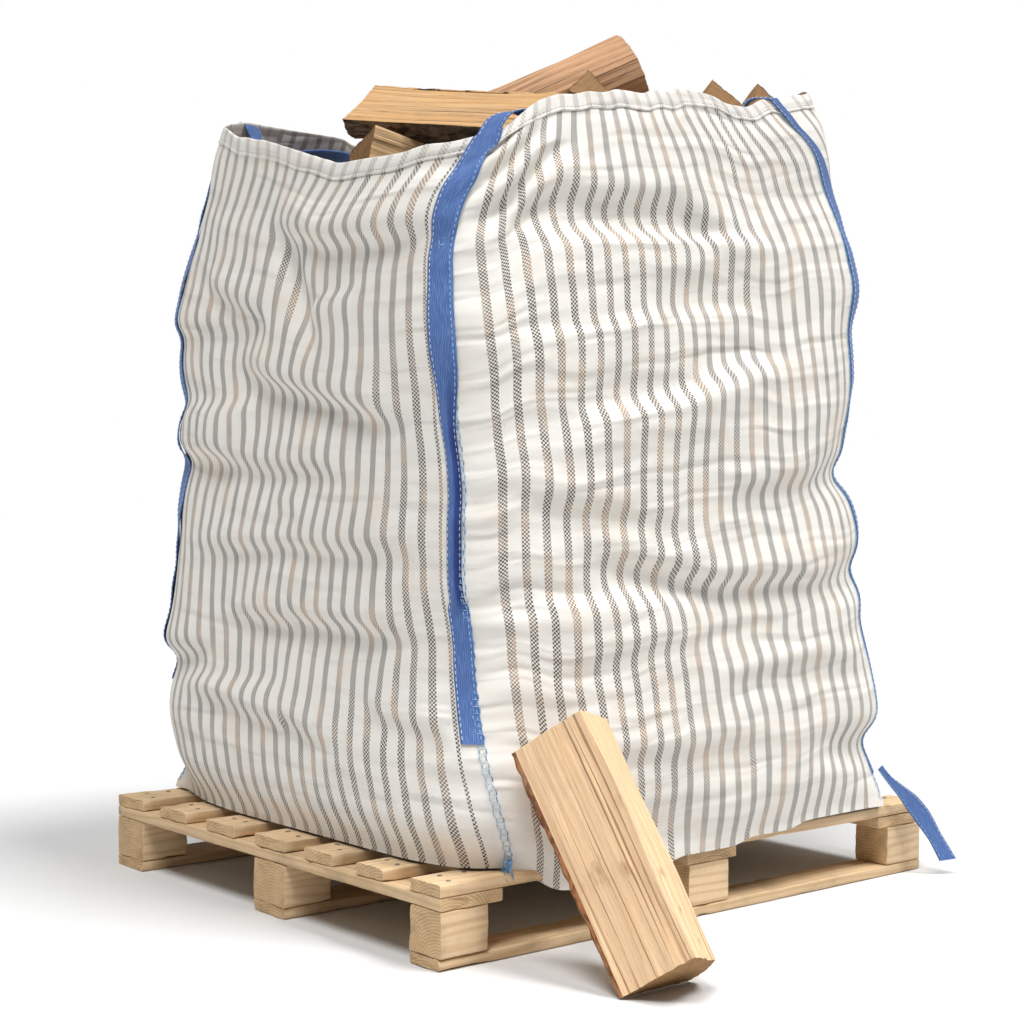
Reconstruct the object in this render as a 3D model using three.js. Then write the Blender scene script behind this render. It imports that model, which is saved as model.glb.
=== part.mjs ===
// A bulk bag of split firewood standing on its pallet, with one log leaning on the bag.
// Millimetres, +Z up. The origin is the middle of the pallet's underside, on the ground.
// +X runs along the pallet's long side, and -Y is the side that the loose log leans on.
import * as THREE from 'three';

// ---------------------------------------------------------------------------------------
// Driving dimensions
// ---------------------------------------------------------------------------------------
const CLEARANCE = 0.4; // gap kept between pieces that touch
const DEGREE = Math.PI / 180;

const PALLET = {
  length: 1200,
  bottomThickness: 19,
  blockHeight: 74,
  stringerThickness: 21,
  deckThickness: 21,
  endsY: [-497, 504],
  // Middle and width of each board that runs along X.
  deckBoards: [[-457, 78], [-313, 77], [-167, 85], [-22, 97], [137, 95], [300, 93], [456, 96]],
  skids: { front: [-457, 78], middle: [-22, 97], back: [456, 96] },
  // Middle and width of what runs along Y, and of the blocks under it.
  stringers: { left: [-536.5, 127], middle: [7, 128], right: [535, 130] },
  blocks: { left: [-551, 98], middle: [1, 102], right: [549, 102] },
};
const DECK_TOP = PALLET.bottomThickness + PALLET.blockHeight
  + PALLET.stringerThickness + PALLET.deckThickness;

const BAG = {
  wall: 6,
  rows: 15,
  // Heights at which a seam's angle is first guessed, and at which its gap is turned into an angle.
  seamStartHeight: 800,
  seamGapHeight: 700,
  seamPasses: 12,
  // Where the columns of a side panel stand, as fractions of its width.
  columns: [0, 0.025, 0.08, 0.16, 0.26, 0.38, 0.5, 0.62, 0.74, 0.84, 0.92, 0.975, 1],
  // Height, then half sizes to the left, right, front and back, then squareness.
  girth: [
    [88, 566, 542, 515, 518, 8],
    [150, 568, 545, 518, 520, 8],
    [250, 562, 542, 535, 530, 6.2],
    [450, 550, 535, 527, 525, 5],
    [700, 548, 532, 514, 520, 5],
    [950, 545, 530, 500, 515, 5],
    [1150, 535, 528, 472, 505, 5],
    [1310, 515, 505, 428, 470, 4.6],
    [1530, 478, 480, 382, 420, 4.6],
  ],
  // How far two of the corners swell out or are pulled in, by height.
  cornerSwell: [
    {
      angle: 316,
      spread: 15,
      byHeight: [
        [88, 5], [159, 10], [233, -5], [353, 18], [522, -18], [632, 0], [797, -38], [1032, -5],
        [1156, 30], [1367, 32], [1530, 15],
      ],
    },
    {
      angle: 138,
      spread: 14,
      byHeight: [
        [88, -42], [200, -34], [310, 0], [430, 14], [760, 2], [1000, 22], [1200, 20], [1450, 10],
      ],
    },
  ],
  // Angle round the bag, then the height of the top edge.
  rim: [
    [0, 1450], [20, 1440], [45, 1470], [60, 1440], [90, 1430], [115, 1449], [131, 1450],
    [141, 1423], [157, 1377], [177, 1326], [191, 1292], [211, 1296], [223, 1314], [229, 1376],
    [235, 1401], [256, 1427], [277, 1449], [293, 1432], [299, 1457], [310, 1480], [325, 1520],
    [340, 1490], [360, 1450],
  ],
  // Angle round the bag, then the height of the bottom edge. The front droops over the deck.
  foot: [
    [0, 135.5], [229.6, 135.5], [233, 92], [245, 94], [262, 112], [275, 120], [289, 127],
    [292, 135.5], [360, 135.5],
  ],
};

// Corner seams in order round the bag: the angle of each one, by height.
const SEAMS = [
  {
    corner: 'front_left',
    path: [
      [112, 227.5], [200, 226], [300, 223.8], [430, 221.4], [590, 220.1], [900, 218.6],
      [1040, 216], [1150, 215.2], [1231, 217], [1310, 222.7],
    ],
  },
  { corner: 'front_right', path: [[135, 313], [1313, 313], [1400, 308], [1457, 299]] },
  { corner: 'back_right', path: [[135, 405], [1470, 405]] },
  { corner: 'back_left', path: [[135, 494], [1450, 491]] },
];

const BASE_PANEL = { thickness: 3, points: 36, outlineHeight: DECK_TOP + 1 };

const STRAP = {
  thickness: 2.4,
  clearance: 0.8,
  cutEndHeight: 355,
  insideSlack: 4,
};

// Middles of the front right strap's loose end, from where it leaves the seam down to its
// tip: x, y, z and how far its edges lie to each side.
const LOOSE_TAIL = [
  [474, -522, 196, 12], [522, -524, 156, 12], [580, -526, 106, 12], [597, -548, 62, 11],
  [603, -564, 32, 11],
];
// How far the tail's edges rise for each millimetre that they lie to the side.
const TAIL_TILT = 0.75;

const LOAD = { levels: [141, 235, 350, 520, 640, 800, 950, 1070, 1180], insetFromWall: 18, points: 28 };
const LOAD_TOP = LOAD.levels[LOAD.levels.length - 1];
const LOG_LENGTH = 400;
const BARK = { stepAngle: 26, leastSteps: 3 };
const FILL = {
  radius: [80, 105],
  spread: [62, 118],
  pitch: 9,
  length: [0.94 * LOG_LENGTH, 1.02 * LOG_LENGTH],
  most: 21,
  rounds: 40,
  attempts: 260,
  seed: 20,
  reach: 430,
  insetFromWall: 16,
  lowSideX: -90,
  lowSideTop: 1335,
  highSideTop: 1440,
};
// The loose log: its section as pairs of how far across and how far out, and where its lower
// edge stands.
const LEANING_LOG = {
  section: [[0, 0], [152, 0], [158, 34], [140, 85], [46, 132]],
  length: 409,
  heading: 91.3,
  pitch: 54.2,
  foot: [-484.5, -770, 0.2],
};
// Under these, two edges count as parallel and a direction as level.
const PARALLEL = 1e-4;
const LEVEL = 1e-3;

const PINE = new THREE.Color(0.83, 0.68, 0.44);
const SPLIT_WOOD = new THREE.Color(0.78, 0.58, 0.36);
const CLOTH = new THREE.Color(0.86, 0.84, 0.79);
const WEBBING = new THREE.Color(0.16, 0.27, 0.62);

const bundle = new THREE.Group();

// ---------------------------------------------------------------------------------------
// Helpers
// ---------------------------------------------------------------------------------------
function finish(color, roughness) {
  return new THREE.MeshStandardMaterial({ color, roughness, metalness: 0 });
}

function addPiece(name, geometry, material) {
  const piece = new THREE.Mesh(geometry, material);
  piece.name = name;
  bundle.add(piece);
  return piece;
}

// Value from a table of [key, value, value, ...] rows, eased between its rows.
function lookup(table, key, column = 1) {
  if (key <= table[0][0]) return table[0][column];
  const last = table[table.length - 1];
  if (key >= last[0]) return last[column];
  const upper = table.findIndex((row) => row[0] >= key);
  const [from, to] = [table[upper - 1], table[upper]];
  const t = (key - from[0]) / (to[0] - from[0]);
  return THREE.MathUtils.lerp(from[column], to[column], t * t * (3 - 2 * t));
}

// Closed solid between two equal grids of points: one face from each, and the edges between.
function solidBetween(outer, inner) {
  const rows = outer.length;
  const columns = outer[0].length;
  const positions = [...outer.flat(), ...inner.flat()].flatMap((p) => [p.x, p.y, p.z]);
  const at = (layer, row, column) => layer * rows * columns + row * columns + column;
  const triangles = [];
  const quad = (a, b, c, d) => triangles.push(a, b, c, a, c, d);
  for (let i = 0; i + 1 < rows; i += 1) {
    for (let j = 0; j + 1 < columns; j += 1) {
      quad(at(0, i, j), at(0, i, j + 1), at(0, i + 1, j + 1), at(0, i + 1, j));
      quad(at(1, i, j), at(1, i + 1, j), at(1, i + 1, j + 1), at(1, i, j + 1));
    }
    quad(at(0, i, 0), at(0, i + 1, 0), at(1, i + 1, 0), at(1, i, 0));
    quad(at(0, i, columns - 1), at(1, i, columns - 1), at(1, i + 1, columns - 1),
      at(0, i + 1, columns - 1));
  }
  for (let j = 0; j + 1 < columns; j += 1) {
    quad(at(0, 0, j + 1), at(0, 0, j), at(1, 0, j), at(1, 0, j + 1));
    quad(at(0, rows - 1, j), at(0, rows - 1, j + 1), at(1, rows - 1, j + 1), at(1, rows - 1, j));
  }
  const geometry = new THREE.BufferGeometry();
  geometry.setAttribute('position', new THREE.Float32BufferAttribute(positions, 3));
  geometry.setIndex(triangles);
  return geometry;
}

function wrap(angle) {
  return ((angle % 360) + 360) % 360;
}

// Seeded random numbers from 0 to 1.
function randomSource(seed) {
  let state = seed;
  return () => {
    state = (Math.imul(state, 1664525) + 1013904223) >>> 0;
    return state / 2 ** 32;
  };
}

// ---------------------------------------------------------------------------------------
// Pallet
// ---------------------------------------------------------------------------------------
function addBoard(name, size, middle) {
  const board = addPiece(name, new THREE.BoxGeometry(...size), finish(PINE, 0.8));
  board.position.set(...middle);
}

function addPallet() {
  const { length, endsY, bottomThickness, blockHeight, stringerThickness } = PALLET;
  const blockBase = bottomThickness + CLEARANCE;
  const stringerBase = bottomThickness + blockHeight + CLEARANCE;
  const deckBase = bottomThickness + blockHeight + stringerThickness + CLEARANCE;
  const blockRise = blockHeight - CLEARANCE;
  const stringerRise = stringerThickness - CLEARANCE;
  const deckRise = PALLET.deckThickness - CLEARANCE;
  for (const [row, [y, width]] of Object.entries(PALLET.skids)) {
    addBoard(`bottom_board_${row}`, [length, width, bottomThickness], [0, y, bottomThickness / 2]);
    for (const [side, [x, across]] of Object.entries(PALLET.blocks)) {
      addBoard(`block_${row}_${side}`, [across, width, blockRise], [x, y, blockBase + blockRise / 2]);
    }
  }
  for (const [side, [x, width]] of Object.entries(PALLET.stringers)) {
    addBoard(`stringer_${side}`, [width, endsY[1] - endsY[0], stringerRise],
      [x, (endsY[0] + endsY[1]) / 2, stringerBase + stringerRise / 2]);
  }
  PALLET.deckBoards.forEach(([y, width], index) => {
    addBoard(`deck_board_${index + 1}`, [length, width, deckRise], [0, y, deckBase + deckRise / 2]);
  });
}

// ---------------------------------------------------------------------------------------
// Bag: a slumped, rounded square of cloth, given by its radius at each angle and height
// ---------------------------------------------------------------------------------------
function bagRadius(angle, height) {
  const [c, s] = [Math.cos(angle * DEGREE), Math.sin(angle * DEGREE)];
  const halfX = lookup(BAG.girth, height, c < 0 ? 1 : 2);
  const halfY = lookup(BAG.girth, height, s < 0 ? 3 : 4);
  const power = lookup(BAG.girth, height, 5);
  const square = (Math.abs(c / halfX) ** power + Math.abs(s / halfY) ** power) ** (-1 / power);
  const swell = BAG.cornerSwell.map((corner) => {
    const away = (wrap(angle) - corner.angle) / corner.spread;
    return lookup(corner.byHeight, height) * Math.exp(-away * away);
  });
  return square + swell[0] + swell[1];
}

function bagPoint(angle, height, inward = 0) {
  const onWall = (a, z) => {
    const r = bagRadius(a, z);
    return new THREE.Vector3(r * Math.cos(a * DEGREE), r * Math.sin(a * DEGREE), z);
  };
  const point = onWall(angle, height);
  if (inward === 0) return point;
  const along = onWall(angle + 0.5, height).sub(onWall(angle - 0.5, height));
  const up = onWall(angle, height + 5).sub(onWall(angle, height - 5));
  return point.addScaledVector(along.cross(up).normalize(), -inward);
}

function rowHeight(angle, row) {
  const [low, high] = [lookup(BAG.foot, wrap(angle)), lookup(BAG.rim, wrap(angle))];
  return low + ((high - low) * row) / BAG.rows;
}

// Point of the bag's wall at an angle, with row 0 at the bottom edge and row BAG.rows at the
// top edge.
function wallPoint(angle, row, inward = 0) {
  return bagPoint(angle, rowHeight(angle, row), inward);
}

// Angle of each seam at a row, rising round the bag; the first seam comes again at the end.
function seamAngles(row) {
  const angles = SEAMS.map(({ path }) => {
    let angle = lookup(path, BAG.seamStartHeight);
    for (let pass = 0; pass < BAG.seamPasses; pass += 1) {
      angle = (angle + lookup(path, rowHeight(angle, row))) / 2;
    }
    return angle;
  });
  return [...angles, angles[0] + 360];
}

function addSidePanel(name, fromSeam) {
  const grid = (inward) => Array.from({ length: BAG.rows + 1 }, (_, row) => {
    const angles = seamAngles(row);
    const radius = bagRadius(angles[fromSeam], BAG.seamGapHeight);
    const gap = (CLEARANCE / radius) * (0.5 / DEGREE);
    const [from, to] = [angles[fromSeam] + gap, angles[fromSeam + 1] - gap];
    return BAG.columns.map((f) => wallPoint(from + (to - from) * f, row, inward));
  });
  addPiece(name, solidBetween(grid(0), grid(BAG.wall)), finish(CLOTH, 0.9));
}

function addBasePanel() {
  const { thickness, points, outlineHeight } = BASE_PANEL;
  const inset = BAG.wall + LOAD.insetFromWall;
  const outline = new THREE.Shape(Array.from({ length: points }, (_, i) => {
    const angle = (i * 360) / points;
    const r = bagRadius(angle, outlineHeight) - inset;
    return new THREE.Vector2(r * Math.cos(angle * DEGREE), r * Math.sin(angle * DEGREE));
  }));
  const sheet = new THREE.ExtrudeGeometry(outline, { depth: thickness, bevelEnabled: false });
  addPiece('bag_base_panel', sheet, finish(CLOTH, 0.9)).position.z = DECK_TOP + CLEARANCE;
}

// Webbing that lies on a corner seam, from its cut end up to the top edge, over the edge and a
// little way down inside. Middles of the webbing under the cut end make a loose tail.
function addStrap(seam, tail = []) {
  const { thickness, clearance, cutEndHeight, insideSlack } = STRAP;
  // Points across the webbing at a row, on the same columns as the panels at its sides.
  const across = (row, outward, lift = 0) => {
    const angles = seamAngles(row);
    const before = seam === 0 ? angles[3] - 360 : angles[seam - 1];
    const [middle, after] = [angles[seam], angles[seam + 1]];
    const f = BAG.columns[1];
    return [middle - f * (middle - before), middle, middle + f * (after - middle)]
      .map((angle) => wallPoint(angle, row, -outward).add(new THREE.Vector3(0, 0, lift)));
  };
  const [near, far] = [clearance, clearance + thickness];
  const inside = -BAG.wall - insideSlack;
  const lowest = tail.length ? tail[0][2] : cutEndHeight;
  const courses = tail.map(([x, y, z, lean]) => [-1, 1].map((side) => [-1, 0, 1].map((edge) => (
    new THREE.Vector3(x + edge * lean, y + side * thickness * 0.5, z + edge * lean * TAIL_TILT)
  )))).reverse();
  for (let row = 0; row <= BAG.rows; row += 1) {
    const course = [across(row, far), across(row, near)];
    if (course[0][1].z > lowest) courses.push(course);
  }
  courses.push([across(BAG.rows, far, far), across(BAG.rows, near, near)]);
  courses.push([across(BAG.rows, inside - far, far), across(BAG.rows, inside - near, near)]);
  courses.push([across(BAG.rows, inside - far), across(BAG.rows, inside - near)]);
  courses.push([across(BAG.rows - 1, inside - far), across(BAG.rows - 1, inside - near)]);
  addPiece(`lifting_strap_${SEAMS[seam].corner}`,
    solidBetween(courses.map(([face]) => face), courses.map(([, face]) => face)),
    finish(WEBBING, 0.7));
}

function addBag() {
  ['front', 'right', 'back', 'left']
    .forEach((side, seam) => addSidePanel(`bag_panel_${side}`, seam));
  addBasePanel();
  SEAMS.forEach(({ corner }, seam) => addStrap(seam, corner === 'front_right' ? LOOSE_TAIL : []));
}

// ---------------------------------------------------------------------------------------
// Firewood
// ---------------------------------------------------------------------------------------
// The packed load under the top layer: one body that reaches the tips of the logs in it.
function addLoad() {
  const rings = LOAD.levels.map((height) => Array.from({ length: LOAD.points }, (_, i) => {
    const angle = (i * 360) / LOAD.points;
    const r = bagRadius(angle, height) - BAG.wall - LOAD.insetFromWall;
    return new THREE.Vector3(r * Math.cos(angle * DEGREE), r * Math.sin(angle * DEGREE), height);
  }));
  const positions = [];
  const triangles = [];
  rings.flat().forEach((point) => positions.push(point.x, point.y, point.z));
  const at = (level, i) => level * LOAD.points + (i % LOAD.points);
  const top = rings.length - 1;
  for (let level = 0; level < top; level += 1) {
    for (let i = 0; i < LOAD.points; i += 1) {
      triangles.push(at(level, i), at(level, i + 1), at(level + 1, i + 1));
      triangles.push(at(level, i), at(level + 1, i + 1), at(level + 1, i));
    }
  }
  for (let i = 1; i + 1 < LOAD.points; i += 1) {
    triangles.push(at(0, 0), at(0, i + 1), at(0, i));
    triangles.push(at(top, 0), at(top, i), at(top, i + 1));
  }
  const geometry = new THREE.BufferGeometry();
  geometry.setAttribute('position', new THREE.Float32BufferAttribute(positions, 3));
  geometry.setIndex(triangles);
  addPiece('log_load', geometry, finish(SPLIT_WOOD, 0.85));
}

// Section of a log split out of a round trunk: its ridge is at the origin, pointing up, and
// its bark is the arc below.
function splitSection(radius, spread) {
  const steps = Math.max(BARK.leastSteps, Math.round(spread / BARK.stepAngle));
  const arc = Array.from({ length: steps + 1 }, (_, i) => {
    const angle = (-90 - spread / 2 + (spread * i) / steps) * DEGREE;
    return new THREE.Vector2(radius * Math.cos(angle), radius * Math.sin(angle));
  });
  return spread < 180 ? [new THREE.Vector2(0, 0), ...arc] : arc;
}

// A straight log about its own middle. heading turns it round +Z from +X, pitch lifts its
// head, and roll turns the section about the log's length.
function makeLog(section, { x, y, z, heading, pitch, roll }, length = LOG_LENGTH) {
  const shape = new THREE.Shape(section);
  const geometry = new THREE.ExtrudeGeometry(shape, { depth: length, bevelEnabled: false });
  geometry.translate(0, 0, -length / 2);
  const log = new THREE.Mesh(geometry, finish(SPLIT_WOOD, 0.8));
  const [h, p] = [heading * DEGREE, pitch * DEGREE];
  const upright = new THREE.Vector3(0, 0, 1);
  const axis = new THREE.Vector3(Math.cos(p) * Math.cos(h), Math.cos(p) * Math.sin(h), Math.sin(p));
  const side = new THREE.Vector3().crossVectors(axis, upright).normalize();
  const lift = new THREE.Vector3().crossVectors(side, axis);
  // Seen from the head the section would be mirrored, so its own +Z runs towards the tail.
  const basis = new THREE.Matrix4().makeBasis(side, lift, axis.clone().negate());
  log.quaternion.setFromRotationMatrix(basis);
  log.quaternion.multiply(new THREE.Quaternion().setFromAxisAngle(upright, roll * DEGREE));
  log.position.set(x, y, z);
  log.userData = { section, length };
  return log;
}

// Corners, face directions and edge directions of a log, for telling whether two logs touch.
function prism(log) {
  log.updateMatrixWorld();
  const { section, length } = log.userData;
  const corners = [-0.5, 0.5].flatMap((end) => section.map((p) => (
    new THREE.Vector3(p.x, p.y, end * length).applyMatrix4(log.matrixWorld))));
  const axis = new THREE.Vector3(0, 0, 1).applyQuaternion(log.quaternion);
  const edges = section.map((_, i) => (
    new THREE.Vector3().subVectors(corners[(i + 1) % section.length], corners[i]).normalize()));
  const sides = edges.map((edge) => new THREE.Vector3().crossVectors(edge, axis).normalize());
  return { corners, faces: [axis, ...sides], edges: [axis, ...edges] };
}

function extent(corners, direction) {
  const reach = corners.map((corner) => corner.dot(direction));
  return [Math.min(...reach), Math.max(...reach)];
}

// Whether two logs are clear of each other, and how far the first must be lifted to lie on
// the second. Two convex solids are apart when some face or pair of edges divides them.
function compare(a, b) {
  const directions = [...a.faces, ...b.faces];
  for (const edgeOfA of a.edges) {
    for (const edgeOfB of b.edges) {
      const cross = new THREE.Vector3().crossVectors(edgeOfA, edgeOfB);
      if (cross.lengthSq() > PARALLEL) directions.push(cross.normalize());
    }
  }
  const result = { apart: false, lift: Infinity };
  for (const direction of directions) {
    const up = direction.z < 0 ? direction.clone().negate() : direction;
    const [lowA, highA] = extent(a.corners, up);
    const [lowB, highB] = extent(b.corners, up);
    const beside = highA + CLEARANCE < lowB || highB + CLEARANCE < lowA;
    result.apart = result.apart || beside;
    if (up.z > LEVEL) result.lift = Math.min(result.lift, (highB + CLEARANCE - lowA) / up.z);
    else if (beside) result.lift = -Infinity;
  }
  return result;
}

function insideMouth(corners) {
  return corners.every((corner) => {
    const angle = Math.atan2(corner.y, corner.x) / DEGREE;
    return Math.hypot(corner.x, corner.y) < bagRadius(angle, corner.z) - FILL.insetFromWall;
  });
}

// Logs thrown on top by hand: they show over the edge of the bag.
const HAND_PLACED = {
  log_broad_face: [
    splitSection(70, 180),
    { x: -289, y: -130, z: 1415, heading: -63.4, pitch: -6.2, roll: -37 },
    385,
  ],
  log_small_wedge: [
    splitSection(100, 70), { x: -233, y: -115, z: 1332, heading: -11, pitch: -12, roll: -32 },
  ],
  log_tall_round: [
    splitSection(85, 180), { x: -10, y: -39, z: 1443, heading: -34, pitch: 25, roll: 115 },
  ],
  log_tip_middle: [
    splitSection(78, 74), { x: -24, y: -96, z: 1377, heading: -110, pitch: 35, roll: 8 },
  ],
  log_tip_right: [
    splitSection(100, 76), { x: 256, y: -118, z: 1428, heading: -108, pitch: 25, roll: -6 },
  ],
  log_tip_far_right: [
    splitSection(90, 62), { x: 392, y: -131, z: 1438, heading: -110, pitch: 28, roll: -10 }, 360,
  ],
};

// Logs that fill the mouth of the bag: each takes the lowest place of some random tries.
function addFillLogs(placed) {
  const random = randomSource(FILL.seed);
  const between = (low, high) => low + (high - low) * random();
  const fixed = placed.map(prism);
  const lying = [];
  for (let round = 0; round < FILL.rounds && lying.length < FILL.most; round += 1) {
    let best = null;
    for (let attempt = 0; attempt < FILL.attempts; attempt += 1) {
      const section = splitSection(between(...FILL.radius), between(...FILL.spread));
      const place = {
        x: between(-FILL.reach, FILL.reach),
        y: between(-FILL.reach, FILL.reach),
        z: 0,
        heading: between(0, 360),
        pitch: between(-FILL.pitch, FILL.pitch),
        roll: between(0, 360),
      };
      const log = makeLog(section, place, between(...FILL.length));
      const shape = prism(log);
      let height = LOAD_TOP + CLEARANCE - Math.min(...shape.corners.map((corner) => corner.z));
      for (const other of lying) height = Math.max(height, compare(shape, other).lift);
      log.position.z = height;
      const settled = prism(log);
      const top = Math.max(...settled.corners.map((corner) => corner.z));
      const limit = place.x < FILL.lowSideX ? FILL.lowSideTop : FILL.highSideTop;
      const fits = top < limit && insideMouth(settled.corners)
        && fixed.every((other) => compare(settled, other).apart);
      if (fits && (best === null || top < best.top)) best = { log, settled, top };
    }
    if (best !== null) {
      lying.push(best.settled);
      best.log.name = `log_fill_${String(lying.length).padStart(2, '0')}`;
      bundle.add(best.log);
    }
  }
}

// The loose log stands on its lower edge on the ground and leans back on the bag.
function addLeaningLog() {
  const { length, heading, pitch, foot } = LEANING_LOG;
  const section = LEANING_LOG.section.map(([across, out]) => new THREE.Vector2(across, out));
  const log = makeLog(section, { x: 0, y: 0, z: 0, heading, pitch, roll: 0 }, length);
  log.name = 'log_leaning';
  const corner = new THREE.Vector3(section[0].x, section[0].y, length / 2);
  log.position.set(...foot).sub(corner.applyQuaternion(log.quaternion));
  bundle.add(log);
}

function addFirewood() {
  addLoad();
  const placed = Object.entries(HAND_PLACED).map(([name, [section, place, length]]) => {
    const log = makeLog(section, place, length);
    log.name = name;
    bundle.add(log);
    return log;
  });
  addFillLogs(placed);
  addLeaningLog();
}

addPallet();
addBag();
addFirewood();

export default bundle;
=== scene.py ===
"""Looks of a vented bulk bag of split firewood that stands on a pine pallet, with one log leaning on it."""

import logging
import math
from dataclasses import dataclass, field
from enum import Enum

import bpy
import numpy as np
from mathutils import Matrix, Vector
from mathutils.bvhtree import BVHTree

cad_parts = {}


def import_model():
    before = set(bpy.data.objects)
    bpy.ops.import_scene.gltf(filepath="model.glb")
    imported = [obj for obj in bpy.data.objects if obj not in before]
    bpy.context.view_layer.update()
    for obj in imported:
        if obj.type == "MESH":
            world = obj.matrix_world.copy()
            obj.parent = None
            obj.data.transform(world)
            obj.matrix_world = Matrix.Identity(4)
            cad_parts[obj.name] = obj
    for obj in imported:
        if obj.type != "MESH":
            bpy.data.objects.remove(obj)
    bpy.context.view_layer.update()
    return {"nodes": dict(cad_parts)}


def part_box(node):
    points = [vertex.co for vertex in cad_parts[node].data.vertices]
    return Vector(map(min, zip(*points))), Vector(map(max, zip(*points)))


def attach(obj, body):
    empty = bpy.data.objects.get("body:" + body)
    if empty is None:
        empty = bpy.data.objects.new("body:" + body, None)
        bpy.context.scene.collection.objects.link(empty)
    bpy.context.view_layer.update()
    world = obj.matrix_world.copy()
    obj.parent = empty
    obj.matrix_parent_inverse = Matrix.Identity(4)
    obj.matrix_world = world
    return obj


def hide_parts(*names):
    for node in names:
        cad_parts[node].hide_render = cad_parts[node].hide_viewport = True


LOG = logging.getLogger("firewood_bundle")
ROOT = "root"
MM = 0.001
TURN = 2 * math.pi


class Slot(Enum):
    """The record's material slots."""

    SPLIT_WOOD = "split_wood"
    PALLET_PINE = "pallet_pine"
    WOVEN_CLOTH = "woven_cloth"
    WEBBING = "webbing"


class Side(Enum):
    """The bag's four side panels, in order round the bag from its front left seam."""

    FRONT = 0
    RIGHT = 1
    BACK = 2
    LEFT = 3


class FoldKind(Enum):
    """How cloth turns at a fold: it hangs over it, steps out below it, or sinks along it."""

    OVERHANG = 1
    LEDGE = 2
    VALLEY = 3


class LogSkin(Enum):
    """What a log's outline shows."""

    BARK_ON_SHORT_EDGES = 1
    SPLIT_ALL_ROUND = 2


# ---------------------------------------------------------------- numbers and meshes


def lattice_noise(x: np.ndarray, y: np.ndarray, seed: int) -> np.ndarray:
    """Smooth value noise on a plane.

    Args:
        x: First coordinate, in cells.
        y: Second coordinate, in cells.
        seed: Which noise.

    Returns:
        Values of about -1 to 1, in the shape of x and y.
    """
    table = np.random.default_rng(seed).uniform(-1, 1, (128, 128))
    x, y = np.broadcast_arrays(np.asarray(x, float), np.asarray(y, float))
    i, j = np.floor(x).astype(int), np.floor(y).astype(int)
    fx, fy = x - i, y - j
    fx, fy = fx * fx * (3 - 2 * fx), fy * fy * (3 - 2 * fy)
    low = table[i % 128, j % 128] * (1 - fx) + table[(i + 1) % 128, j % 128] * fx
    high = table[i % 128, (j + 1) % 128] * (1 - fx) + table[(i + 1) % 128, (j + 1) % 128] * fx
    return low * (1 - fy) + high * fy


def ring_noise(rows: int, columns: int, cells: tuple[int, int], seed: int) -> np.ndarray:
    """Smooth noise on a tube, which closes round its columns.

    Args:
        rows: Rows of points.
        columns: Points round a row.
        cells: Noise cells up and round.
        seed: Which noise.

    Returns:
        Values of about -2 to 2, rows by columns.
    """
    table = np.random.default_rng(seed).standard_normal((cells[0] + 2, cells[1]))
    y, x = np.linspace(0, cells[0], rows), np.arange(columns) / columns * cells[1]
    i, j = y.astype(int), x.astype(int)
    fy, fx = (y - i)[:, None], (x - j)[None]
    fy, fx = fy * fy * (3 - 2 * fy), fx * fx * (3 - 2 * fx)
    after = (j + 1) % cells[1]
    low = table[i][:, j] * (1 - fx) + table[i][:, after] * fx
    high = table[i + 1][:, j] * (1 - fx) + table[i + 1][:, after] * fx
    return low * (1 - fy) + high * fy


def smooth_step(x: np.ndarray) -> np.ndarray:
    """0 below 0, 1 above 1, and a smooth turn between."""
    x = np.clip(x, 0, 1)
    return x * x * (3 - 2 * x)


def unit(v: np.ndarray) -> np.ndarray:
    """The vectors at length 1."""
    return v / np.maximum(np.linalg.norm(v, axis=-1, keepdims=True), 1e-12)


def grid_normals(grid: np.ndarray, closed: bool) -> np.ndarray:
    """The normal at each point of a grid.

    Args:
        grid: Points, rows by columns by 3.
        closed: The last column joins the first.

    Returns:
        Unit normals, in the grid's shape.
    """
    du = np.roll(grid, -1, 1) - np.roll(grid, 1, 1)
    if not closed:
        du[:, 0], du[:, -1] = grid[:, 1] - grid[:, 0], grid[:, -1] - grid[:, -2]
    return unit(np.cross(du, np.gradient(grid, axis=0)))


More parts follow.
